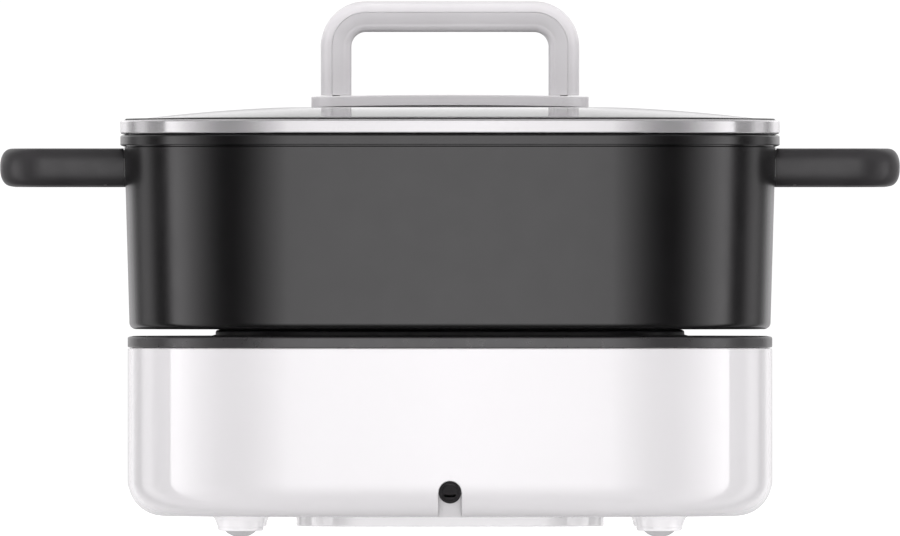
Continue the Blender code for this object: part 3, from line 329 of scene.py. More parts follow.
class Look:
    """A Principled material with helpers for procedural detail in the piece's own coordinates."""

    def __init__(self, name, colour, roughness, metallic=0.0, ior=1.5):
        self.name = name
        self.material = bpy.data.materials.new(name)
        self.material.use_nodes = True
        self.tree = self.material.node_tree
        self.shader = self.tree.nodes["Principled BSDF"]
        self.colour = (*colour, 1.0)
        self.set("Base Color", self.colour)
        self.set("Roughness", roughness)
        self.set("Metallic", metallic)
        self.set("IOR", ior)
        self.place = self.tree.nodes.new("ShaderNodeTexCoord").outputs["Object"]

    def set(self, socket, value):
        self.shader.inputs[socket].default_value = value

    def link(self, output, socket):
        self.tree.links.new(output, socket)

    def stretched(self, scale):
        """The piece's coordinates scaled apart along each axis."""
        mapping = self.tree.nodes.new("ShaderNodeMapping")
        mapping.inputs["Scale"].default_value = scale
        self.link(self.place, mapping.inputs["Vector"])
        return mapping.outputs["Vector"]

    def noise(self, scale, detail=3.0, rough=0.55, place=None):
        node = self.tree.nodes.new("ShaderNodeTexNoise")
        node.inputs["Scale"].default_value = scale
        node.inputs["Detail"].default_value = detail
        node.inputs["Roughness"].default_value = rough
        self.link(place or self.place, node.inputs["Vector"])
        return node.outputs["Fac"]

    def cells(self, scale, place=None):
        node = self.tree.nodes.new("ShaderNodeTexVoronoi")
        node.inputs["Scale"].default_value = scale
        self.link(place or self.place, node.inputs["Vector"])
        return node.outputs["Distance"]

    def rings(self, scale):
        """Rings about the vertical axis, like marks left by turning."""
        node = self.tree.nodes.new("ShaderNodeTexWave")
        node.wave_type = "RINGS"
        node.rings_direction = "Z"
        node.inputs["Scale"].default_value = scale
        self.link(self.place, node.inputs["Vector"])
        return node.outputs["Fac"]

    def math(self, operation, first, second):
        return join_math(self.tree, operation, first, second)

    def spread(self, fac, low, high, start=0.3, end=0.7):
        return mapped(self.tree, fac, start, end, low, high)

    def mottled(self, fac, darker, lighter):
        """The base colour, a little darker and lighter where fac is low and high."""
        ramp = self.tree.nodes.new("ShaderNodeValToRGB")
        ramp.color_ramp.elements[0].position = 0.3
        ramp.color_ramp.elements[1].position = 0.7
        for element, gain in zip(ramp.color_ramp.elements, (darker, lighter)):
            element.color = (*(min(1.0, c * gain) for c in self.colour[:3]), 1.0)
        self.link(fac, ramp.inputs["Fac"])
        self.link(ramp.outputs["Color"], self.shader.inputs["Base Color"])
        return ramp

    def two_tone(self, fac, other, start, end):
        """The base colour and another one, mixed by fac."""
        ramp = self.mottled(fac, 1.0, 1.0)
        ramp.color_ramp.elements[0].position = start
        ramp.color_ramp.elements[1].position = end
        ramp.color_ramp.elements[1].color = (*other, 1.0)

    def roughness(self, fac, low, high):
        self.link(self.spread(fac, low, high), self.shader.inputs["Roughness"])

    def bump(self, height, depth):
        """Relief, with its full depth in metres."""
        node = self.tree.nodes.new("ShaderNodeBump")
        node.inputs["Distance"].default_value = depth
        self.link(height, node.inputs["Height"])
        self.link(node.outputs["Normal"], self.shader.inputs["Normal"])

    def grain(self, tone, gloss, relief):
        """Uneven colour, gloss and relief. Each is the scale and detail of a noise, then what it drives."""
        self.mottled(self.noise(*tone[:2]), *tone[2:])
        self.roughness(self.noise(*gloss[:2]), *gloss[2:])
        self.bump(self.noise(*relief[:-1]), relief[-1])
        return self


def white_plastic(name="white_plastic", level=0.565):
    look = Look(name, (level, level * 0.988, level), 0.10)
    look.grain((9.0, 4.0, 0.985, 1.01), (55.0, 5.0, 0.07, 0.14), (420.0, 2.0, 0.000004))
    look.set("Coat Weight", 1.0)
    look.set("Coat Roughness", 0.02)
    look.set("Coat IOR", 2.6)
    return look


def grip_cover():
    look = Look("grip_cover", (0.97, 0.96, 0.97), 0.22)
    look.grain((30.0, 4.0, 0.98, 1.01), (160.0, 4.0, 0.18, 0.28), (900.0, 2.0, 0.000004))
    look.set("Coat Weight", 1.0)
    look.set("Coat Roughness", 0.12)
    look.set("Coat IOR", 2.8)
    return look


def grip_plastic():
    look = Look("grip_plastic", (0.56, 0.55, 0.56), 0.33)
    return look.grain((40.0, 4.0, 0.97, 1.02), (220.0, 5.0, 0.28, 0.40), (1500.0, 3.0, 0.000010))


def black_plastic():
    look = Look("black_plastic", (0.022, 0.021, 0.022), 0.30, ior=2.2)
    return look.grain((35.0, 5.0, 0.9, 1.15), (260.0, 4.0, 0.26, 0.34), (1700.0, 3.0, 0.000007))


def non_stick():
    sheen = 0.215
    look = Look("non_stick", (0.004, 0.0038, 0.004), sheen, ior=2.1)
    grain = look.noise(1400.0, 3.0, 0.7)
    look.mottled(look.noise(24.0, 5.0), 0.9, 1.12)
    look.roughness(look.noise(90.0, 6.0), sheen - 0.01, sheen + 0.015)
    fleck = look.spread(look.cells(900.0), 0.35, 0.0, 0.0, 0.35)
    look.bump(look.math("ADD", grain, fleck), 0.000016)
    return look


def phenolic():
    look = Look("handle_phenolic", (0.016, 0.015, 0.016), 0.38, ior=2.0)
    return look.grain((60.0, 5.0, 0.85, 1.2), (180.0, 5.0, 0.34, 0.43), (1200.0, 4.0, 0.65, 0.000018))


def glass():
    look = Look("lid_glass", (0.97, 0.985, 0.975), 0.0, ior=1.5)
    look.set("Transmission Weight", 1.0)
    smudge = look.noise(22.0, 6.0, 0.6)
    look.link(look.spread(smudge, 0.0, 0.012, 0.5, 0.8), look.shader.inputs["Roughness"])
    return look


def polished_steel():
    look = Look("polished_steel", (0.83, 0.82, 0.83), 0.13, metallic=0.80)
    streaks = look.noise(1.0, 3.0, 0.6, look.stretched((30.0, 30.0, 5200.0)))
    look.mottled(look.noise(18.0, 4.0), 0.97, 1.02)
    look.roughness(streaks, 0.10, 0.17)
    look.bump(streaks, 0.0000012)
    return look


def sheet_steel():
    look = Look("sheet_steel", (0.62, 0.61, 0.60), 0.35, metallic=1.0)
    look.mottled(look.cells(150.0), 0.85, 1.08)
    look.roughness(look.noise(320.0, 4.0), 0.28, 0.45)
    look.bump(look.noise(700.0, 3.0), 0.000006)
    return look


def cast_aluminium():
    look = Look("cast_aluminium", (0.030, 0.029, 0.030), 0.42, ior=1.7)
    look.mottled(look.noise(50.0, 6.0), 0.8, 1.3)
    look.roughness(look.noise(140.0, 5.0), 0.36, 0.5)
    turning = look.math("MULTIPLY", look.rings(180.0), 0.5)
    look.bump(look.math("ADD", turning, look.noise(1100.0, 3.0)), 0.00002)
    return look


def element_steel():
    look = Look("element_steel", (0.20, 0.16, 0.13), 0.5, metallic=1.0)
    look.two_tone(look.noise(28.0, 5.0), (0.33, 0.31, 0.30), 0.35, 0.65)
    look.roughness(look.noise(260.0, 4.0), 0.4, 0.62)
    look.bump(look.noise(900.0, 4.0), 0.00002)
    return look


def silicone():
    look = Look("silicone", (0.085, 0.083, 0.085), 0.55)
    return look.grain((70.0, 4.0, 0.88, 1.12), (300.0, 4.0, 0.48, 0.64), (1600.0, 3.0, 0.000016))


def gland_rubber():
    look = Look("gland_rubber", (0.012, 0.011, 0.012), 0.42, ior=1.3)
    return look.grain((220.0, 4.0, 0.8, 1.25), (700.0, 4.0, 0.36, 0.52), (2600.0, 3.0, 0.000014))


def rubber():
    look = Look("rubber", (0.42, 0.415, 0.42), 0.6)
    return look.grain((160.0, 5.0, 0.88, 1.1), (500.0, 4.0, 0.52, 0.7), (1900.0, 3.0, 0.00003))


def ceramic():
    look = Look("ceramic", (0.78, 0.74, 0.66), 0.45)
    return look.grain((180.0, 5.0, 0.92, 1.05), (420.0, 4.0, 0.35, 0.6), (1300.0, 4.0, 0.00002))


def board_green():
    """Solder mask over copper tracks, which run in both directions with pads between them."""
    look = Look("board_green", (0.012, 0.095, 0.040), 0.35)
    along = look.cells(1.0, look.stretched((60.0, 420.0, 1.0)))
    across = look.cells(1.0, look.stretched((420.0, 60.0, 1.0)))
    tracks = look.math("MINIMUM", along, across)
    look.two_tone(tracks, (0.030, 0.190, 0.075), 0.22, 0.26)
    look.roughness(look.noise(300.0, 3.0), 0.28, 0.42)
    look.bump(look.spread(tracks, 1.0, 0.0, 0.2, 0.28), 0.00003)
    return look


def moulded(name, colour, roughness=0.4):
    """A small moulded or wrapped component."""
    look = Look(name, colour, roughness)
    gloss = (380.0, 4.0, roughness - 0.06, roughness + 0.08)
    return look.grain((120.0, 4.0, 0.9, 1.08), gloss, (1400.0, 3.0, 0.000014))


def light_guide():
    look = Look("light_guide", (0.86, 0.88, 0.90), 0.28)
    look.grain((200.0, 3.0, 0.97, 1.02), (500.0, 3.0, 0.22, 0.36), (2200.0, 2.0, 0.000010))
    look.set("Transmission Weight", 0.25)
    return look


LOOKS = {
    look.name: look.material
    for look in (
        white_plastic(),
        # a brighter copy of the white plastic for the pieces underneath, painted light on the underside
        white_plastic("white_underside_painted_light", level=0.96),
        grip_plastic(),
        grip_cover(),
        black_plastic(),
        non_stick(),
        phenolic(),
        glass(),
        polished_steel(),
        sheet_steel(),
        cast_aluminium(),
        element_steel(),
        silicone(),
        gland_rubber(),
        rubber(),
        ceramic(),
        board_green(),
        light_guide(),
        moulded("relay_blue", (0.05, 0.15, 0.45)),
        moulded("tape_yellow", (0.75, 0.58, 0.10), 0.5),
        moulded("wire_red", (0.55, 0.05, 0.04), 0.45),
    )
}


def stand_in(name, mesh, node, look=None, sharp_degrees=32):
    """A fine piece in place of one CAD node, on that node's body and slot."""
    slot = NODE_SLOT[node]
    piece(name, mesh, BODY_OF[node], slot, look, [node], sharp_degrees)


# ---- base


def front_disc(radius, low, high, centre_z, steps=48):
    """A round plug along Y, for the openings in the walls and for the gland's web."""
    return turned([(radius, low), (radius, high)], steps, FACING_FRONT, (0, 0, centre_z))


def base_housing():
    """The white shell with its cord channel and the round opening for the knob's dish."""
    edge = 0.0004
    fillet_centre = (BASE_HALF - HOUSING_FILLET, HOUSING_UNDERSIDE + HOUSING_FILLET)
    outer = [
        (BASE_HALF - edge, HOUSING_TOP),
        (BASE_HALF, HOUSING_TOP - edge),
        *arc(fillet_centre, HOUSING_FILLET, 0, -90, 24),
    ]
    inner = [
        *arc(fillet_centre, HOUSING_FILLET - HOUSING_WALL, -90, 0, 8),
        (BASE_HALF - HOUSING_WALL, HOUSING_TOP),
    ]
    opening = COVER_HALF - 0.0030
    floor_z = HOUSING_UNDERSIDE + HOUSING_WALL
    rings = (
        plan_rings(outer)
        + plan_rings([(opening, HOUSING_UNDERSIDE), (opening, floor_z)], COVER_CORNER_CENTRE)
        + plan_rings(inner)
    )
    block_back, block_top = -0.1220, 0.0290
    block = [
        (block_back, block_top),
        (-0.1345, block_top),
        *arc((-fillet_centre[0], fillet_centre[1]), HOUSING_FILLET - 0.0014, 180, 262, 6),
        (-0.1180, 0.0101),
        (block_back, 0.0118),
    ]
    channel_back, low = -0.1332, HOUSING_UNDERSIDE - 0.0030
    slope = [(-OUTSIDE_Y, GLAND_Z), (channel_back, GLAND_Z), (-0.1190, low), (-OUTSIDE_Y, low)]
    cutters = [
        ("UNION", prism(block, 0.0095)),
        ("DIFFERENCE", front_disc(CHANNEL_RADIUS, -OUTSIDE_Y, channel_back, GLAND_Z)),
        ("DIFFERENCE", prism(slope, CHANNEL_RADIUS)),
        ("DIFFERENCE", front_disc(GLAND_RADIUS + 0.0001, -OUTSIDE_Y, -0.1100, GLAND_Z)),
        ("DIFFERENCE", front_disc(KNOB_DISH_RADIUS - 0.0002, 0.1200, OUTSIDE_Y, KNOB_Z, 96)),
    ]
    shell = cut_away(skin(rings, closed=True), *cutters)
    for name, (x, y) in four_places(FOOT_PLACE):
        pocket = turned([(WELL_RADIUS, 0), (WELL_RADIUS, 0.0112)], 32, centre=(*screw_place(x, y), 0))
        shell = cut_away(shell, ("DIFFERENCE", pocket))
    stand_in("housing_shell", shell, "base_housing")
    for name, (x, y) in four_places(FOOT_PLACE):
        foot_boss(name, x, y)
        screw_well(name, *screw_place(x, y))


def four_places(reach):
    names = ("front_right", "front_left", "rear_left", "rear_right")
    sides = ((1, 1), (-1, 1), (-1, -1), (1, -1))
    return [(name, (side_x * reach, side_y * reach)) for name, (side_x, side_y) in zip(names, sides)]


def screw_place(x, y):
    """Where the housing's screw is, further out on the same diagonal as the foot."""
    return math.copysign(SCREW_PLACE, x), math.copysign(SCREW_PLACE, y)


def foot_boss(name, x, y):
    """A foot of the housing: a flared collar, a bowl, and a round lip that holds the rubber button."""
    lip = 0.0012
    flare = [(0.0117, 0.0), (0.0116, 0.0004), (0.0111, 0.0010)]
    flare += [(0.0107, 0.0018), (0.0103, 0.0029), (0.0099, 0.0040)]
    profile = [
        (FOOT_PAD_RADIUS + 0.0004, HOUSING_UNDERSIDE - 0.0006),
        *((radius, HOUSING_UNDERSIDE - drop) for radius, drop in flare),
        *arc((0.0086, FOOT_LOW + lip), lip, 20, -90, 8),
        (FOOT_PAD_RADIUS + 0.0007, FOOT_LOW),
        (FOOT_PAD_RADIUS + 0.0004, FOOT_LOW + 0.0003),
    ]
    mesh = turned(profile, 64, centre=(x, y, 0), closed=True)
    # the foot takes the brighter copy of the white plastic, painted light on the underside
    piece(f"foot_{name}", mesh, "base", "white_plastic", LOOKS["white_underside_painted_light"])
    bulge, pad_back = 0.0026, 0.0056
    lens_radius = (FOOT_PAD_RADIUS**2 + bulge**2) / (2 * bulge)
    lens_angle = math.degrees(math.asin(FOOT_PAD_RADIUS / lens_radius))
    pad = [(FOOT_PAD_RADIUS, pad_back), *arc((0, lens_radius), lens_radius, -90 + lens_angle, -89, 8)]
    stand_in(f"foot_button_{name}", turned(pad, 48, centre=(x, y, 0)), f"foot_pad_{name}")


def screw_well(name, x, y):
    """The deep round well in the housing's underside that a screw sits at the end of."""
    hole, outside = 0.0025, 0.0062
    seat, top = 0.0143, 0.0200
    wall = [
        (WELL_RADIUS, HOUSING_UNDERSIDE),
        (WELL_RADIUS, seat),
        (hole, seat),
        (hole, top),
        (outside, top),
        (outside, HOUSING_UNDERSIDE + 0.0006),
    ]
    mesh = turned(wall, 32, centre=(x, y, 0), closed=True)
    piece(f"screw_well_{name}", mesh, "base", "white_plastic")


def knob_dish():
    """The dish that the knob turns in, moulded with the housing."""
    low_y = KNOB_LOW.y - 0.0006
    edge_y = RING_LOW.y - 0.0003
    inside, bend, sheet = 0.0275, 0.0010, 0.0030
    profile = [
        (KNOB_DISH_RADIUS, edge_y),
        (inside + 0.0001, edge_y),
        (inside, edge_y - 0.0003),
        *arc((inside - bend, low_y + bend), bend, 0, -90, 5),
        (0.0050, low_y),
        (0.0048, low_y - sheet),
        (KNOB_DISH_RADIUS, low_y - sheet),
    ]
    mesh = turned(profile, 96, FACING_FRONT, (0, 0, KNOB_Z), closed=True)
    piece("knob_dish", mesh, "base", "white_plastic")


def indicator_ring():
    low, high = RING_LOW.y, RING_HIGH.y
    inner, outer = 0.0277, (RING_HIGH.x - RING_LOW.x) / 2
    profile = [
        (outer, low),
        (outer, high - 0.0002),
        (outer - 0.0002, high),
        (inner + 0.0004, high),
        (inner, high - 0.0004),
        (inner, low),
    ]
    mesh = turned(profile, 96, FACING_FRONT, (0, 0, KNOB_Z), closed=True)
    stand_in("indicator_light_ring", mesh, "indicator_ring")


def control_knob():
    """A shallow round cap with a finger bar across it and a pale line that points at the setting."""
    radius = (KNOB_HIGH.x - KNOB_LOW.x) / 2
    back, tip = KNOB_LOW.y, KNOB_HIGH.y
    face = back + 0.0047
    wall, bend = 0.0019, 0.0014
    cap = [
        (radius - wall, back + 0.0027),
        (radius - wall, back),
        (radius, back),
        *arc((radius - bend, face - bend), bend, 0, 90, 6),
        (radius * 0.5, face + 0.0001),
        (0.0008, face + 0.0001),
    ]
    cap_mesh = turned(cap, 96, FACING_FRONT, (0, 0, KNOB_Z))
    bar_half, bar_reach, line_half = 0.0045, 0.0240, 0.0008
    low, high = (-bar_half, face - 0.0012, KNOB_Z - bar_reach), (bar_half, tip - 0.0002, KNOB_Z + bar_reach)
    stand_in("knob_cap", merged(cap_mesh, rounded_box(low, high, 0.0022, 5)), "control_knob")
    low, high = (-line_half, tip - 0.0006, KNOB_Z + 0.0080), (line_half, tip, KNOB_Z + 0.0210)
    line = rounded_box(low, high, 0.00012, 2)
    piece("knob_pointer", line, "dial", "white_plastic")


def heat_marks():
    """Printed marks round the knob that grow with the heat setting, on the housing's face."""
    count, step_degrees = 10, 30
    start, half_width, sunk, proud = 0.0318, 0.00045, 0.00010, 0.00006
    for k in range(count):
        angle = math.radians(-k * step_degrees)
        length = 0.0018 + 0.00030 * k
        outward = Vector((-math.sin(angle), 0, math.cos(angle)))
        sideways = Vector((math.cos(angle), 0, math.sin(angle)))
        rings = []
        for y in (BASE_HALF - sunk, BASE_HALF + proud):
            corners = []
            for out, side in ((0, -1), (length, -1), (length, 1), (0, 1)):
                corner = Vector((0, y, KNOB_Z)) + outward * (start + out) + sideways * (half_width * side)
                corner.y -= bowed_in(corner.x)
                corners.append(corner)
            rings.append(corners)
        piece(f"heat_mark_{k}", skin(rings), "base", "black_plastic", LOOKS["silicone"])


def bottom_cover():
    """The shallow dish between the feet, with vent slots."""
    half, low = COVER_HALF, COVER_LOW
    wall, bend, high = 0.0036, 0.0008, HOUSING_UNDERSIDE - 0.0003
    sections = [
        (half - 0.0100, low + 0.0022),
        (half - wall, low + 0.0040),
        (half - wall, high),
        (half, high),
        (half, low + bend),
        *arc((half - bend, low + bend), bend, -20, -90, 4),
        (half - 0.0030, low),
        (half - 0.0034, low + 0.0003),
        (half - 0.0040, low + 0.0003),
        (half - 0.0044, low),
    ]
    mesh = skin(plan_rings(sections, COVER_CORNER_CENTRE))
    slot_x, slot_pitch = 0.0200, 0.0085
    reach = Vector((0.0150, 0.0015, 0.0050))
    slots = []
    for side_x in (-1, 1):
        for row in range(-2, 3):
            centre = Vector((side_x * slot_x, row * slot_pitch, low))
            slots.append(("DIFFERENCE", rounded_box(centre - reach, centre + reach, 0.0014, 3)))
    # the cover takes the brighter copy of the white plastic, painted light on the underside
    stand_in("bottom_cover_shell", cut_away(mesh, *slots), "bottom_cover", LOOKS["white_underside_painted_light"])


def top_panel():
    """The black deck: a soft outer edge, a flat top that turns down round the plate, and a lip below."""
    opening = PLATE_HALF + 0.0021
    opening_low = PANEL_TOP - 0.0052
    low = HOUSING_TOP + 0.0003
    lip = BASE_HALF - HOUSING_WALL - 0.0006
    lip_low, lip_wall, sheet = 0.0755, 0.0027, 0.0028
    edge, bevel = 0.0003, 0.0007
    outer = [
        (lip, low),
        (BASE_HALF - edge, low),
        (BASE_HALF, low + edge),
        *arc((BASE_HALF - bevel, PANEL_TOP - bevel), bevel, 0, 90, 5),
    ]
    inner = [
        (opening + 0.0008, PANEL_TOP),
        (opening, PANEL_TOP - 0.0006),
        (opening, opening_low),
        (opening + 0.0023, opening_low),
    ]
    under = [(lip - lip_wall, PANEL_TOP - sheet), (lip - lip_wall, lip_low), (lip, lip_low)]
    rings = plan_rings(outer) + plan_rings(inner, PLATE_CORNER_CENTRE) + plan_rings(under)
    stand_in("deck", skin(rings, closed=True), "top_panel")


def heating_plate():
    """The cast plate, with a soft upper edge, a shallow ring groove and the sensor's round opening."""
    hole, edge = 0.0150, 0.0012
    low, below, above = PLATE_TOP - 0.0126, 0.0600, 0.1000
    outer = [
        (PLATE_HALF - edge, low),
        (PLATE_HALF, low + edge),
        *arc((PLATE_HALF - edge, PLATE_TOP - edge), edge, 0, 90, 5),
    ]
    bottom, inner, rim = PLATE_TOP - 0.0004, 0.0660, 0.0680
    groove = [(inner, bottom), (rim, bottom), (rim, above), (inner, above)]
    mesh = cut_away(
        skin(plan_rings(outer, PLATE_CORNER_CENTRE)),
        ("DIFFERENCE", turned(groove, 96, closed=True)),
        ("DIFFERENCE", turned([(hole, below), (hole, above)], 64)),
    )
    stand_in("hot_plate", mesh, "heating_plate")


def plate_seal():
    inner, outer = PLATE_HALF + 0.0003, PLATE_HALF + 0.0018
    low, high = PANEL_TOP - 0.0048, PANEL_TOP + 0.0006
    bend = (outer - inner) / 2
    sections = [
        (outer, low),
        *arc(((inner + outer) / 2, high - bend), bend, 0, 180, 8),
        (inner, low),
    ]
    stand_in("seal_ring", skin(plan_rings(sections, PLATE_CORNER_CENTRE), closed=True), "plate_seal")


def sensor_cap():
    low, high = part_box("sensor_cap")
    radius, stem, bend = high.x, 0.0035, 0.0010
    inside, under, skirt_low = radius - 0.0012, high.z - 0.0022, 0.0735
    profile = [
        (stem, low.z),
        (stem, under),
        (inside, under),
        (inside, skirt_low),
        (radius, skirt_low),
        *arc((radius - bend, high.z - bend), bend, 0, 90, 5),
        (0.0010, high.z),
    ]
    stand_in("sensor_button", turned(profile, 64), "sensor_cap", LOOKS["sheet_steel"])


def cord_gland():
    """The rubber bush in the cord outlet: a rounded face, and a bore behind a web with a curved slot."""
    mouth = GLAND_LOW.y
    bore, edge, bend = 0.0034, 0.0003, 0.0006
    flange, flange_y = 0.0070, -0.1217
    profile = [
        (flange, GLAND_HIGH.y),
        (flange, flange_y),
        (GLAND_RADIUS, flange_y),
        *arc((GLAND_RADIUS - bend, mouth + bend), bend, 0, -90, 5),
        (bore + edge, mouth),
        (bore, mouth + edge),
        (bore, GLAND_HIGH.y),
    ]
    mesh = turned(profile, 64, FACING_FRONT, (0, 0, GLAND_Z), closed=True)
    stand_in("gland_bush", mesh, "cord_gland", LOOKS["gland_rubber"])
    web_y, web_thickness = mouth + 0.0007, 0.0012
    web = front_disc(bore - 0.00005, web_y, web_y + web_thickness, GLAND_Z)
    path = [Vector((x, web_y, z)) for x, z in arc((0, GLAND_Z + 0.0040), 0.0056, 244, 296, 10)]
    half_width, before, past = 0.0005, -0.0006, web_thickness + 0.0008
    section = [(-half_width, before), (half_width, before), (half_width, past), (-half_width, past)]
    web = cut_away(web, ("DIFFERENCE", sweep(path, section, (0, 1, 0))))
    piece("gland_web", web, "base", "silicone", LOOKS["gland_rubber"])


# ---- pot


def pot_body():
    """The pot: a deep inside with a round foot, a flat rim, a soft-edged flange and a seam under it."""
    inner_foot, inner_mouth = POT_FOOT_HALF - POT_WALL, POT_MOUTH_HALF - POT_WALL
    inner_bend, outer_bend, lip_bend = 0.0120, 0.0028, 0.0006
    edge, low_edge = 0.0007, 0.0003
    seam = POT_MOUTH_HALF - 0.0010
    sections = [
        *arc((inner_foot - inner_bend, POT_FLOOR + inner_bend), inner_bend, -90, 0, 14),
        *arc((inner_mouth + lip_bend, POT_TOP - lip_bend), lip_bend, 180, 90, 4),
        *arc((RIM_HALF - edge, POT_TOP - edge), edge, 90, 0, 5),
        *arc((RIM_HALF - low_edge, FLANGE_LOW + low_edge), low_edge, 0, -90, 4),
        (seam, FLANGE_LOW),
        (seam, FLANGE_LOW - 0.0005),
        (POT_MOUTH_HALF - 0.0001, FLANGE_LOW - 0.0009),
        *arc((POT_FOOT_HALF - outer_bend, POT_LOW + outer_bend), outer_bend, 0, -90, 9),
    ]
    recess = [(PLATE_HALF + 0.0030, POT_LOW), (PLATE_HALF + 0.0022, POT_LOW + 0.0005)]
    rings = plan_rings(sections) + plan_rings(recess, PLATE_CORNER_CENTRE)
    lug_width, lug_height = 0.0024, 0.0040
    lugs = []
    for side in (-1, 1):
        near, far = sorted((side * POT_FOOT_HALF, side * LUG_END))
        for y in (-HANDLE_HALF_WIDTH, HANDLE_HALF_WIDTH):
            low = (near, y - lug_width, HANDLE_Z - lug_height)
            high = (far, y + lug_width, HANDLE_Z + lug_height)
            lugs.append(rounded_box(low, high, 0.0004, 2))
    stand_in("pot", merged(skin(rings), *lugs), "pot_body")


def bent_path(half_width, reach, bend, place, steps=16):
    """Points of a flat U, up one side and down the other. place turns (across, out) into a point."""
    flat = [
        (-half_width, 0),
        *arc((-half_width + bend, reach - bend), bend, 180, 90, steps),
        *arc((half_width - bend, reach - bend), bend, 90, 0, steps),
        (half_width, 0),
    ]
    return [Vector(place(across, out)) for across, out in flat]


def side_handle(side, node):
    """A loop handle with a soft, nearly elliptical section."""
    start, end = sorted(abs(corner.x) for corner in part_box(node))
    half_height = (HANDLE_HIGH.z - HANDLE_LOW.z) / 2
    depth, squareness, steps = 0.0055, 2.4, 48
    section = []
    for k in range(steps):
        angle = 2 * math.pi * (k + 0.5) / steps
        c, sn = math.cos(angle), math.sin(angle)
        out = math.copysign(abs(c) ** (2 / squareness), c) * depth
        up = math.copysign(abs(sn) ** (2 / squareness), sn) * half_height
        section.append((-out, up))
    place = lambda across, out: (side * (start + out), side * across, HANDLE_Z)
    path = bent_path(HANDLE_HALF_WIDTH, end - depth - start, 0.0140, place)
    stand_in(f"handle_loop_{'right' if side > 0 else 'left'}", sweep(path, section, (0, 0, 1)), node)


# ---- lid


def glass_height(half):
    return GLASS_TOP - GLASS_DROP * (half / GLASS_CURVE_HALF) ** GLASS_FALL_POWER


def lid_glass():
    """The dome with a flat seat for the grip's plate, a thin edge that the band holds, and three holes."""
    curve_steps = 26
    halves = [GLASS_CURVE_HALF * (k / curve_steps) for k in range(1, curve_steps + 1)]
    upper = [(half, min(GRIP_SEAT, glass_height(half))) for half in halves]
    lower = [(half, glass_height(half) - GLASS_THICKNESS) for half in halves[:-1]]
    shoulder, edge_high, edge_low = 0.1322, 0.1750, 0.1716
    sections = [
        *upper,
        (shoulder, edge_high),
        (GLASS_HALF - 0.0003, edge_high - 0.0006),
        (GLASS_HALF, edge_high - 0.0010),
        (GLASS_HALF, edge_low + 0.0004),
        (GLASS_HALF - 0.0004, edge_low),
        (shoulder, edge_low),
        *reversed(lower),
    ]
    share = CORNER_CENTRE / RIM_HALF
    rings = [rounded_square(half, half * share, z, True) for half, z in sections]
    below, above, screw, vent = 0.17, 0.19, 0.0032, 0.0040
    cutters = []
    for x, y, radius in ((LID_SCREW_X, 0, screw), (-LID_SCREW_X, 0, screw), (0, VENT_Y, vent)):
        drill = turned([(radius, below), (radius, above)], 32, centre=(x, y, 0))
        cutters.append(("DIFFERENCE", drill))
    stand_in("dome", cut_away(skin(rings), *cutters), "lid_glass", sharp_degrees=40)


def lid_rim():
    """The steel band: a rolled top edge over the glass, a flat side and a skirt inside the pot."""
    sheet, roll, hem, mouth = 0.0008, 0.0009, 0.0006, 0.1333
    inside = RIM_HALF - sheet - 0.0001
    skirt_inner, skirt_outer, skirt_low = 0.1313, 0.1321, 0.1650
    sections = [
        *arc((RIM_HALF - hem, RIM_LOW + hem), hem, -90, 0, 4),
        *arc((RIM_HALF - roll, RIM_TOP - roll), roll, 0, 90, 6),
        (mouth + 0.0004, RIM_TOP),
        (mouth, RIM_TOP - 0.0003),
        (mouth + 0.0002, RIM_TOP - sheet),
        (inside, RIM_TOP - sheet - 0.0001),
        (inside, RIM_LOW + sheet),
        (skirt_inner, RIM_LOW + sheet),
        (skirt_inner, skirt_low),
        (skirt_outer, skirt_low),
        (skirt_outer, RIM_LOW),
    ]
    stand_in("rim_band", skin(plan_rings(sections), closed=True), "lid_rim")


def lid_shadow_rings():
    """Thin dark rings that paint the shadow lines in the gaps at the band's edges: one on the band against
    the glass, one under it on the pot's rim.
    """
    shapes = {
        "glass_shadow_ring": (0.1330, 0.1371, RIM_TOP + 0.0001, RIM_TOP + 0.0006, 0.0005),
        "pot_shadow_ring": (0.1322, 0.1352, RIM_LOW + 0.0004, POT_TOP, 0.0),
    }
    for name, (inner, outer, near_z, far_z, slant) in shapes.items():
        section = [(inner, far_z), (outer - slant, far_z), (outer, near_z), (inner, near_z)]
        mesh = skin(plan_rings(section), closed=True)
        piece(name, mesh, "lid", "silicone", LOOKS["gland_rubber"])


def slab(name, node, low_box, high_box, bevel):
    """A long plate with round ends that hangs a little lower at its ends, as the glass does."""
    half_length, depth, high = high_box
    thickness = high - low_box.z - GRIP_PLATE_SAG
    tip_steps, tip_degrees = 16, 84
    angles = [math.radians(tip_degrees) * k / tip_steps for k in range(tip_steps + 1)]
    tips = [(half_length - depth + depth * math.sin(a), depth * math.cos(a)) for a in angles]
    stations = [(0, depth), (0.0150, depth), (0.0300, depth), *tips]
    stations = [(-x, half) for x, half in reversed(stations[1:])] + stations
    rings = []
    for x, half in stations:
        sag = GRIP_PLATE_SAG * (x / half_length) ** 2
        top, bottom = high - sag, high - sag - thickness
        edge = min(bevel, half * 0.4)
        section = [
            (-half + edge * 0.3, bottom),
            (half - edge * 0.3, bottom),
            (half, bottom + edge * 0.3),
            *arc((half - edge, top - edge), edge, 0, 90, 4),
            *arc((-half + edge, top - edge), edge, 90, 180, 4),
            (-half, bottom + edge * 0.3),
        ]
        rings.append([Vector((x, y, z)) for y, z in section])
    stand_in(name, skin(rings), node)


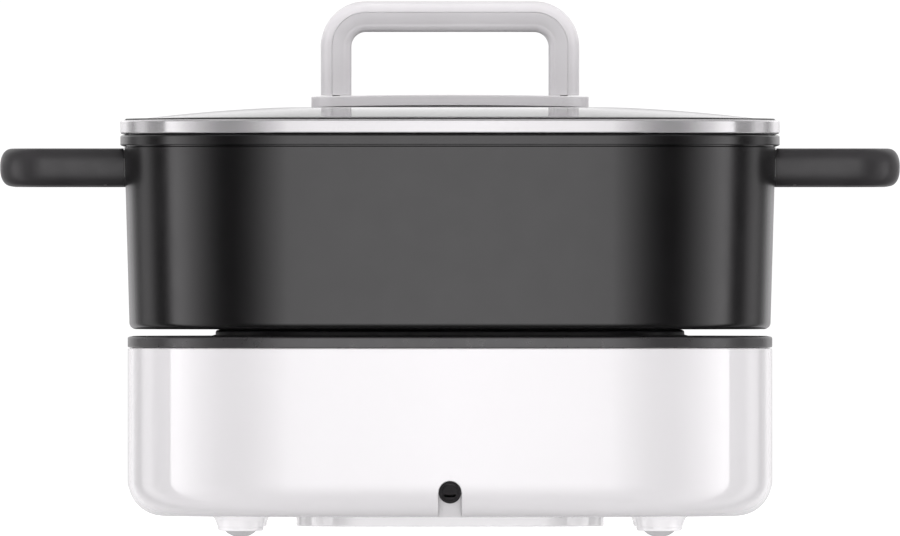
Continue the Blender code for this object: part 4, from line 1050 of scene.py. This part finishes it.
def grip_section():
    """(outwards, along Y) points of the bar, and which of its strips belong to the outer cover."""
    out, deep = GRIP_THICKNESS / 2, GRIP_HIGH.y
    crease, notch, bend = out - 0.0047, 0.0003, 0.0030
    half = [
        (out, 0.0),
        (out, 0.0030),
        (out - 0.0002, 0.0055),
        (out - 0.0008, 0.0078),
        (out - 0.0018, 0.0095),
        (out - 0.0030, 0.0105),
        (out - 0.0043, deep),
        (crease, deep),
        (crease - notch * 0.5, deep - notch),
        (crease - notch, deep - 0.0001),
        (-0.0015, deep - 0.0005),
        *arc((-out + bend, deep - 0.0012 - bend), bend, 80, 180, 7),
    ]
    mirrored = [(a, -b) for a, b in reversed(half[1:])]
    cover_strips = 7
    total = len(half) + len(mirrored)
    bands = set(range(cover_strips)) | set(range(total - cover_strips, total))
    return half + mirrored, bands


def lid_grip():
    section, bands = grip_section()
    leg_x = GRIP_HIGH.x - GRIP_THICKNESS / 2
    reach = GRIP_HIGH.z - GRIP_THICKNESS / 2 - GRIP_LOW.z
    place = lambda across, out: (across, 0, GRIP_LOW.z + out)
    path = bent_path(leg_x, reach, GRIP_BEND, place, 20)
    mesh = sweep(path, section, (0, 1, 0), bands)
    looks = [LOOKS["grip_plastic"], LOOKS["grip_cover"]]
    stand_in("grip_bar", mesh, "lid_handle_grip", looks)
    settled = Vector((0, 0, GLASS_TOP - GRIP_SEAT))
    slab("grip_plate", "lid_handle_plate", GRIP_PLATE_LOW - settled, GRIP_PLATE_HIGH, 0.0006)
    slab("grip_gasket", "lid_handle_gasket", GRIP_GASKET_LOW - settled, GRIP_GASKET_HIGH - settled, 0.0002)


def cross_head(radius, height, seat, centre):
    """A pan head with a cross recess, which hangs under its seat."""
    profile = [
        (radius * 0.55, seat),
        (radius - 0.0002, seat),
        (radius, seat - 0.0002),
        (radius, seat - height * 0.35),
        *arc((radius - height * 0.6, seat - height * 0.4), height * 0.6, 0, -80, 6),
        (radius * 0.2, seat - height),
    ]
    head = turned(profile, 48, centre=(*centre, 0))
    wide, narrow, depth = radius * 0.62, radius * 0.15, height * 0.6
    cutters = []
    for a, b in ((wide, narrow), (narrow, wide)):
        tip = Vector((*centre, seat - height))
        bar = rounded_box(tip - Vector((a, b, 0.002)), tip + Vector((a, b, depth)), narrow * 0.5, 2)
        cutters.append(("DIFFERENCE", bar))
    return cut_away(head, *cutters)


def fine_screw(name, node, head_height):
    """A screw that is driven from below: a cross head, and a shank with rolled threads."""
    low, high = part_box(node)
    centre = ((low.x + high.x) / 2, (low.y + high.y) / 2)
    radius = (high.x - low.x) / 2
    seat = low.z + head_height
    shank, pitch = radius * 0.32, 0.0007
    profile = [(shank, seat - 0.0002)]
    z = seat + pitch
    while z < high.z - pitch:
        profile += [(shank, z), (shank * 0.82, z + pitch / 2)]
        z += pitch
    profile.append((shank * 0.5, high.z))
    thread = turned(profile, 20, centre=(*centre, 0))
    stand_in(name, merged(cross_head(radius, head_height, seat, centre), thread), node)


def steam_vent():
    low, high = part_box("steam_vent")
    inner, tube, flange, sheet = 0.0022, 0.0037, (high.x - low.x) / 2, 0.0008
    clinch, clinch_sheet = 0.0055, 0.0005
    profile = [
        (tube, high.z - sheet),
        (flange, high.z - sheet),
        (flange, high.z - 0.0004),
        *arc((flange - 0.0012, high.z - sheet), sheet, 30, 90, 4),
        (inner + 0.0005, high.z),
        (inner, high.z - 0.0005),
        (inner, low.z),
        (clinch, low.z),
        (clinch, low.z + clinch_sheet),
        (tube, low.z + clinch_sheet),
    ]
    mesh = turned(profile, 48, centre=(0, VENT_Y, 0), closed=True)
    stand_in("vent_eyelet", mesh, "steam_vent")


# ---- studio


def eased(tree, value, start, end, low, high):
    return mapped(tree, value, start, end, low, high, "SMOOTHSTEP")


def walls_of_light(tree, place):
    """The studio's brightness against the angle from the cord side, mirrored left to right.

    Soft boxes face the front, the back and each side, with dark gaps at the corners between them."""
    stops = [
        (0, 1.00), (3, 0.86), (7, 0.66), (14, 0.46), (21, 0.30), (28, 0.14), (35, 0.05), (42, 0.0),
        (50, 0.0), (56, 0.07), (61, 0.17), (66, 0.28), (71, 0.40), (76, 0.55), (82, 0.75), (88, 0.93),
        (94.6, 0.95), (95.8, 0.0), (105, 0.0), (111.5, 0.05), (119, 0.44), (128, 0.44), (135, 0.08),
        (142, 0.34), (151, 0.90), (165, 0.85), (180, 0.62),
    ]  # fmt: skip
    split = tree.nodes.new("ShaderNodeSeparateXYZ")
    tree.links.new(place, split.inputs[0])
    x = join_math(tree, "ABSOLUTE", split.outputs["X"])
    toward_cord_side = join_math(tree, "MULTIPLY", split.outputs["Y"], -1.0)
    azimuth = join_math(tree, "DIVIDE", join_math(tree, "ARCTAN2", x, toward_cord_side), math.pi)
    ramp = tree.nodes.new("ShaderNodeValToRGB")
    elements = ramp.color_ramp.elements
    while len(elements) > 1:
        elements.remove(elements[-1])
    for index, (degrees, level) in enumerate(stops):
        element = elements[0] if index == 0 else elements.new(degrees / 180)
        element.position = degrees / 180
        element.color = (level, level * 0.985, level, 1.0)
    tree.links.new(azimuth, ramp.inputs["Fac"])
    return ramp.outputs["Color"], azimuth, split.outputs["Z"]


def studio_world():
    """White for the camera and through glass, and soft boxes for reflections and matt surfaces."""
    world = bpy.data.worlds.new("studio")
    bpy.context.scene.world = world
    world.use_nodes = True
    tree = world.node_tree
    nodes, links = tree.nodes, tree.links
    walls, azimuth, up = walls_of_light(tree, nodes.new("ShaderNodeTexCoord").outputs["Generated"])

    # The walls reach higher on the cord side than elsewhere, and fade into the ceiling
    top = join_math(tree, "ADD", eased(tree, azimuth, 0.22, 0.36, 0.42, 0.0), 0.28)
    height = join_math(tree, "DIVIDE", up, top)
    mix = nodes.new("ShaderNodeMix")
    mix.data_type = "RGBA"
    first_colour, second_colour, mixed_colour = mix.inputs[6], mix.inputs[7], mix.outputs[2]
    links.new(eased(tree, height, 0.25, 1.0, 0.0, 1.0), mix.inputs["Factor"])
    links.new(walls, first_colour)
    second_colour.default_value = (*CEILING, 1.0)
    lit = nodes.new("ShaderNodeBackground")
    links.new(mixed_colour, lit.inputs["Color"])
    links.new(eased(tree, up, -0.92, -0.06, 0.04, 1.0), lit.inputs["Strength"])

    # A soft band above the far side, which the glass reflects at a flat angle
    from_below, to_above = eased(tree, up, 0.03, 0.12, 0.0, 1.0), eased(tree, up, 0.6, 0.9, 0.6, 0.0)
    band = join_math(tree, "MULTIPLY", from_below, to_above)
    far_side = eased(tree, azimuth, 0.62, 0.80, 0.0, 1.0)
    behind = nodes.new("ShaderNodeBackground")
    links.new(join_math(tree, "MULTIPLY", band, far_side), behind.inputs["Strength"])
    both = nodes.new("ShaderNodeAddShader")
    links.new(lit.outputs[0], both.inputs[0])
    links.new(behind.outputs[0], both.inputs[1])

    # The camera sees plain white, and glass lets a little less of it through
    white = nodes.new("ShaderNodeBackground")
    white.inputs["Color"].default_value = (1.0, 1.0, 1.0, 1.0)
    ray = nodes.new("ShaderNodeLightPath")
    direct = ray.outputs["Is Camera Ray"]
    links.new(eased(tree, direct, 0.0, 1.0, BEHIND_GLASS, 1.05), white.inputs["Strength"])
    seen = join_math(tree, "MAXIMUM", direct, ray.outputs["Is Transmission Ray"])
    chosen = nodes.new("ShaderNodeMixShader")
    links.new(seen, chosen.inputs["Fac"])
    links.new(both.outputs[0], chosen.inputs[1])
    links.new(white.outputs[0], chosen.inputs[2])
    links.new(chosen.outputs[0], nodes["World Output"].inputs["Surface"])


def soft_lamp(name, place, target, size, power):
    """A broad lamp that adds even light to matt surfaces and doesn't show in glossy ones."""
    data = bpy.data.lights.new(name, "AREA")
    data.shape = "RECTANGLE"
    data.size, data.size_y = size
    data.energy = power
    data.color = (1.0, 0.985, 1.0)
    lamp = bpy.data.objects.new(name, data)
    lamp.location = place
    lamp.rotation_mode = "QUATERNION"
    lamp.rotation_quaternion = (Vector(target) - Vector(place)).to_track_quat("-Z", "Y")
    lamp.visible_glossy = False
    lamp.visible_transmission = False
    lamp.visible_camera = False
    bpy.context.scene.collection.objects.link(lamp)


def floor():
    """A pale floor that the object stands on. The camera sees it nearly as bright as the surround."""
    bm = bmesh.new()
    bmesh.ops.create_grid(bm, x_segments=1, y_segments=1, size=2.2)
    obj = bpy.data.objects.new("floor", finished(bm))
    obj.location = (0, 0, -0.0001)
    bpy.context.scene.collection.objects.link(obj)
    look = Look("floor", (0.80, 0.79, 0.80), 0.8)
    look.mottled(look.noise(3.0), 0.99, 1.01)
    nodes, links = look.tree.nodes, look.tree.links
    ray = nodes.new("ShaderNodeLightPath")
    glow = nodes.new("ShaderNodeEmission")
    shine = look.spread(ray.outputs["Is Camera Ray"], FLOOR_GLOW, 0.80, 0.0, 1.0)
    links.new(shine, glow.inputs["Strength"])
    bright = nodes.new("ShaderNodeAddShader")
    links.new(look.shader.outputs[0], bright.inputs[0])
    links.new(glow.outputs[0], bright.inputs[1])
    links.new(bright.outputs[0], nodes["Material Output"].inputs["Surface"])
    obj.visible_glossy = False
    obj.data.materials.append(look.material)


def camera():
    """Level with the middle of the object, far back on the cord side, so that lines stay parallel."""
    low, high = CAD_BOX
    distance, handle_end_y = 10.0, 0.0450
    data = bpy.data.cameras.new("camera")
    data.sensor_width = 36.0
    data.lens = data.sensor_width * (distance - handle_end_y) / (high.x - low.x)
    data.clip_end = 40.0
    obj = bpy.data.objects.new("camera", data)
    obj.location = (0, -distance, (high.z + low.z) / 2)
    obj.rotation_euler = (math.pi / 2, 0, 0)
    bpy.context.scene.collection.objects.link(obj)
    bpy.context.scene.camera = obj


def studio():
    bpy.context.scene.view_settings.view_transform = "Standard"
    studio_world()
    floor()
    middle = (0, 0, 0.1)
    soft_lamp("front_lamp", (0, -2.6, 0.9), middle, (3.0, 2.2), 42)
    soft_lamp("top_lamp", (0, 0, 2.6), (0, 0, 0), (3.0, 3.0), 64)
    soft_lamp("left_lamp", (-2.6, -0.5, 0.9), middle, (2.6, 2.2), 52)
    soft_lamp("right_lamp", (2.6, -0.5, 0.9), middle, (2.6, 2.2), 52)
    soft_lamp("back_lamp", (0, 2.6, 0.9), middle, (3.0, 2.2), 18)
    camera()


def base():
    base_housing()
    knob_dish()
    indicator_ring()
    control_knob()
    heat_marks()
    bottom_cover()
    top_panel()
    heating_plate()
    plate_seal()
    sensor_cap()
    cord_gland()
    for name, _ in four_places(1):
        fine_screw(f"case_screw_{name}", f"housing_screw_{name}", 0.0028)


def pot():
    pot_body()
    side_handle(-1, "pot_handle_left")
    side_handle(1, "pot_handle_right")
    for side in ("left", "right"):
        for end in ("rear", "front"):
            fine_screw(f"handle_fixing_{side}_{end}", f"handle_screw_{side}_{end}", 0.0014)


def lid():
    lid_glass()
    lid_rim()
    # dark rings that paint the shadow lines above and below the steel band
    lid_shadow_rings()
    lid_grip()
    fine_screw("dome_screw_left", "lid_screw_left", 0.0022)
    fine_screw("dome_screw_right", "lid_screw_right", 0.0022)
    steam_vent()


def dress_cad_nodes():
    """Gives every CAD node its procedural material, for those that stay as they are."""
    for name, obj in NODES.items():
        look = LOOKS[NODE_SLOT[name]]
        for material_slot in obj.material_slots:
            material_slot.material = look


dress_cad_nodes()
base()
pot()
lid()
studio()
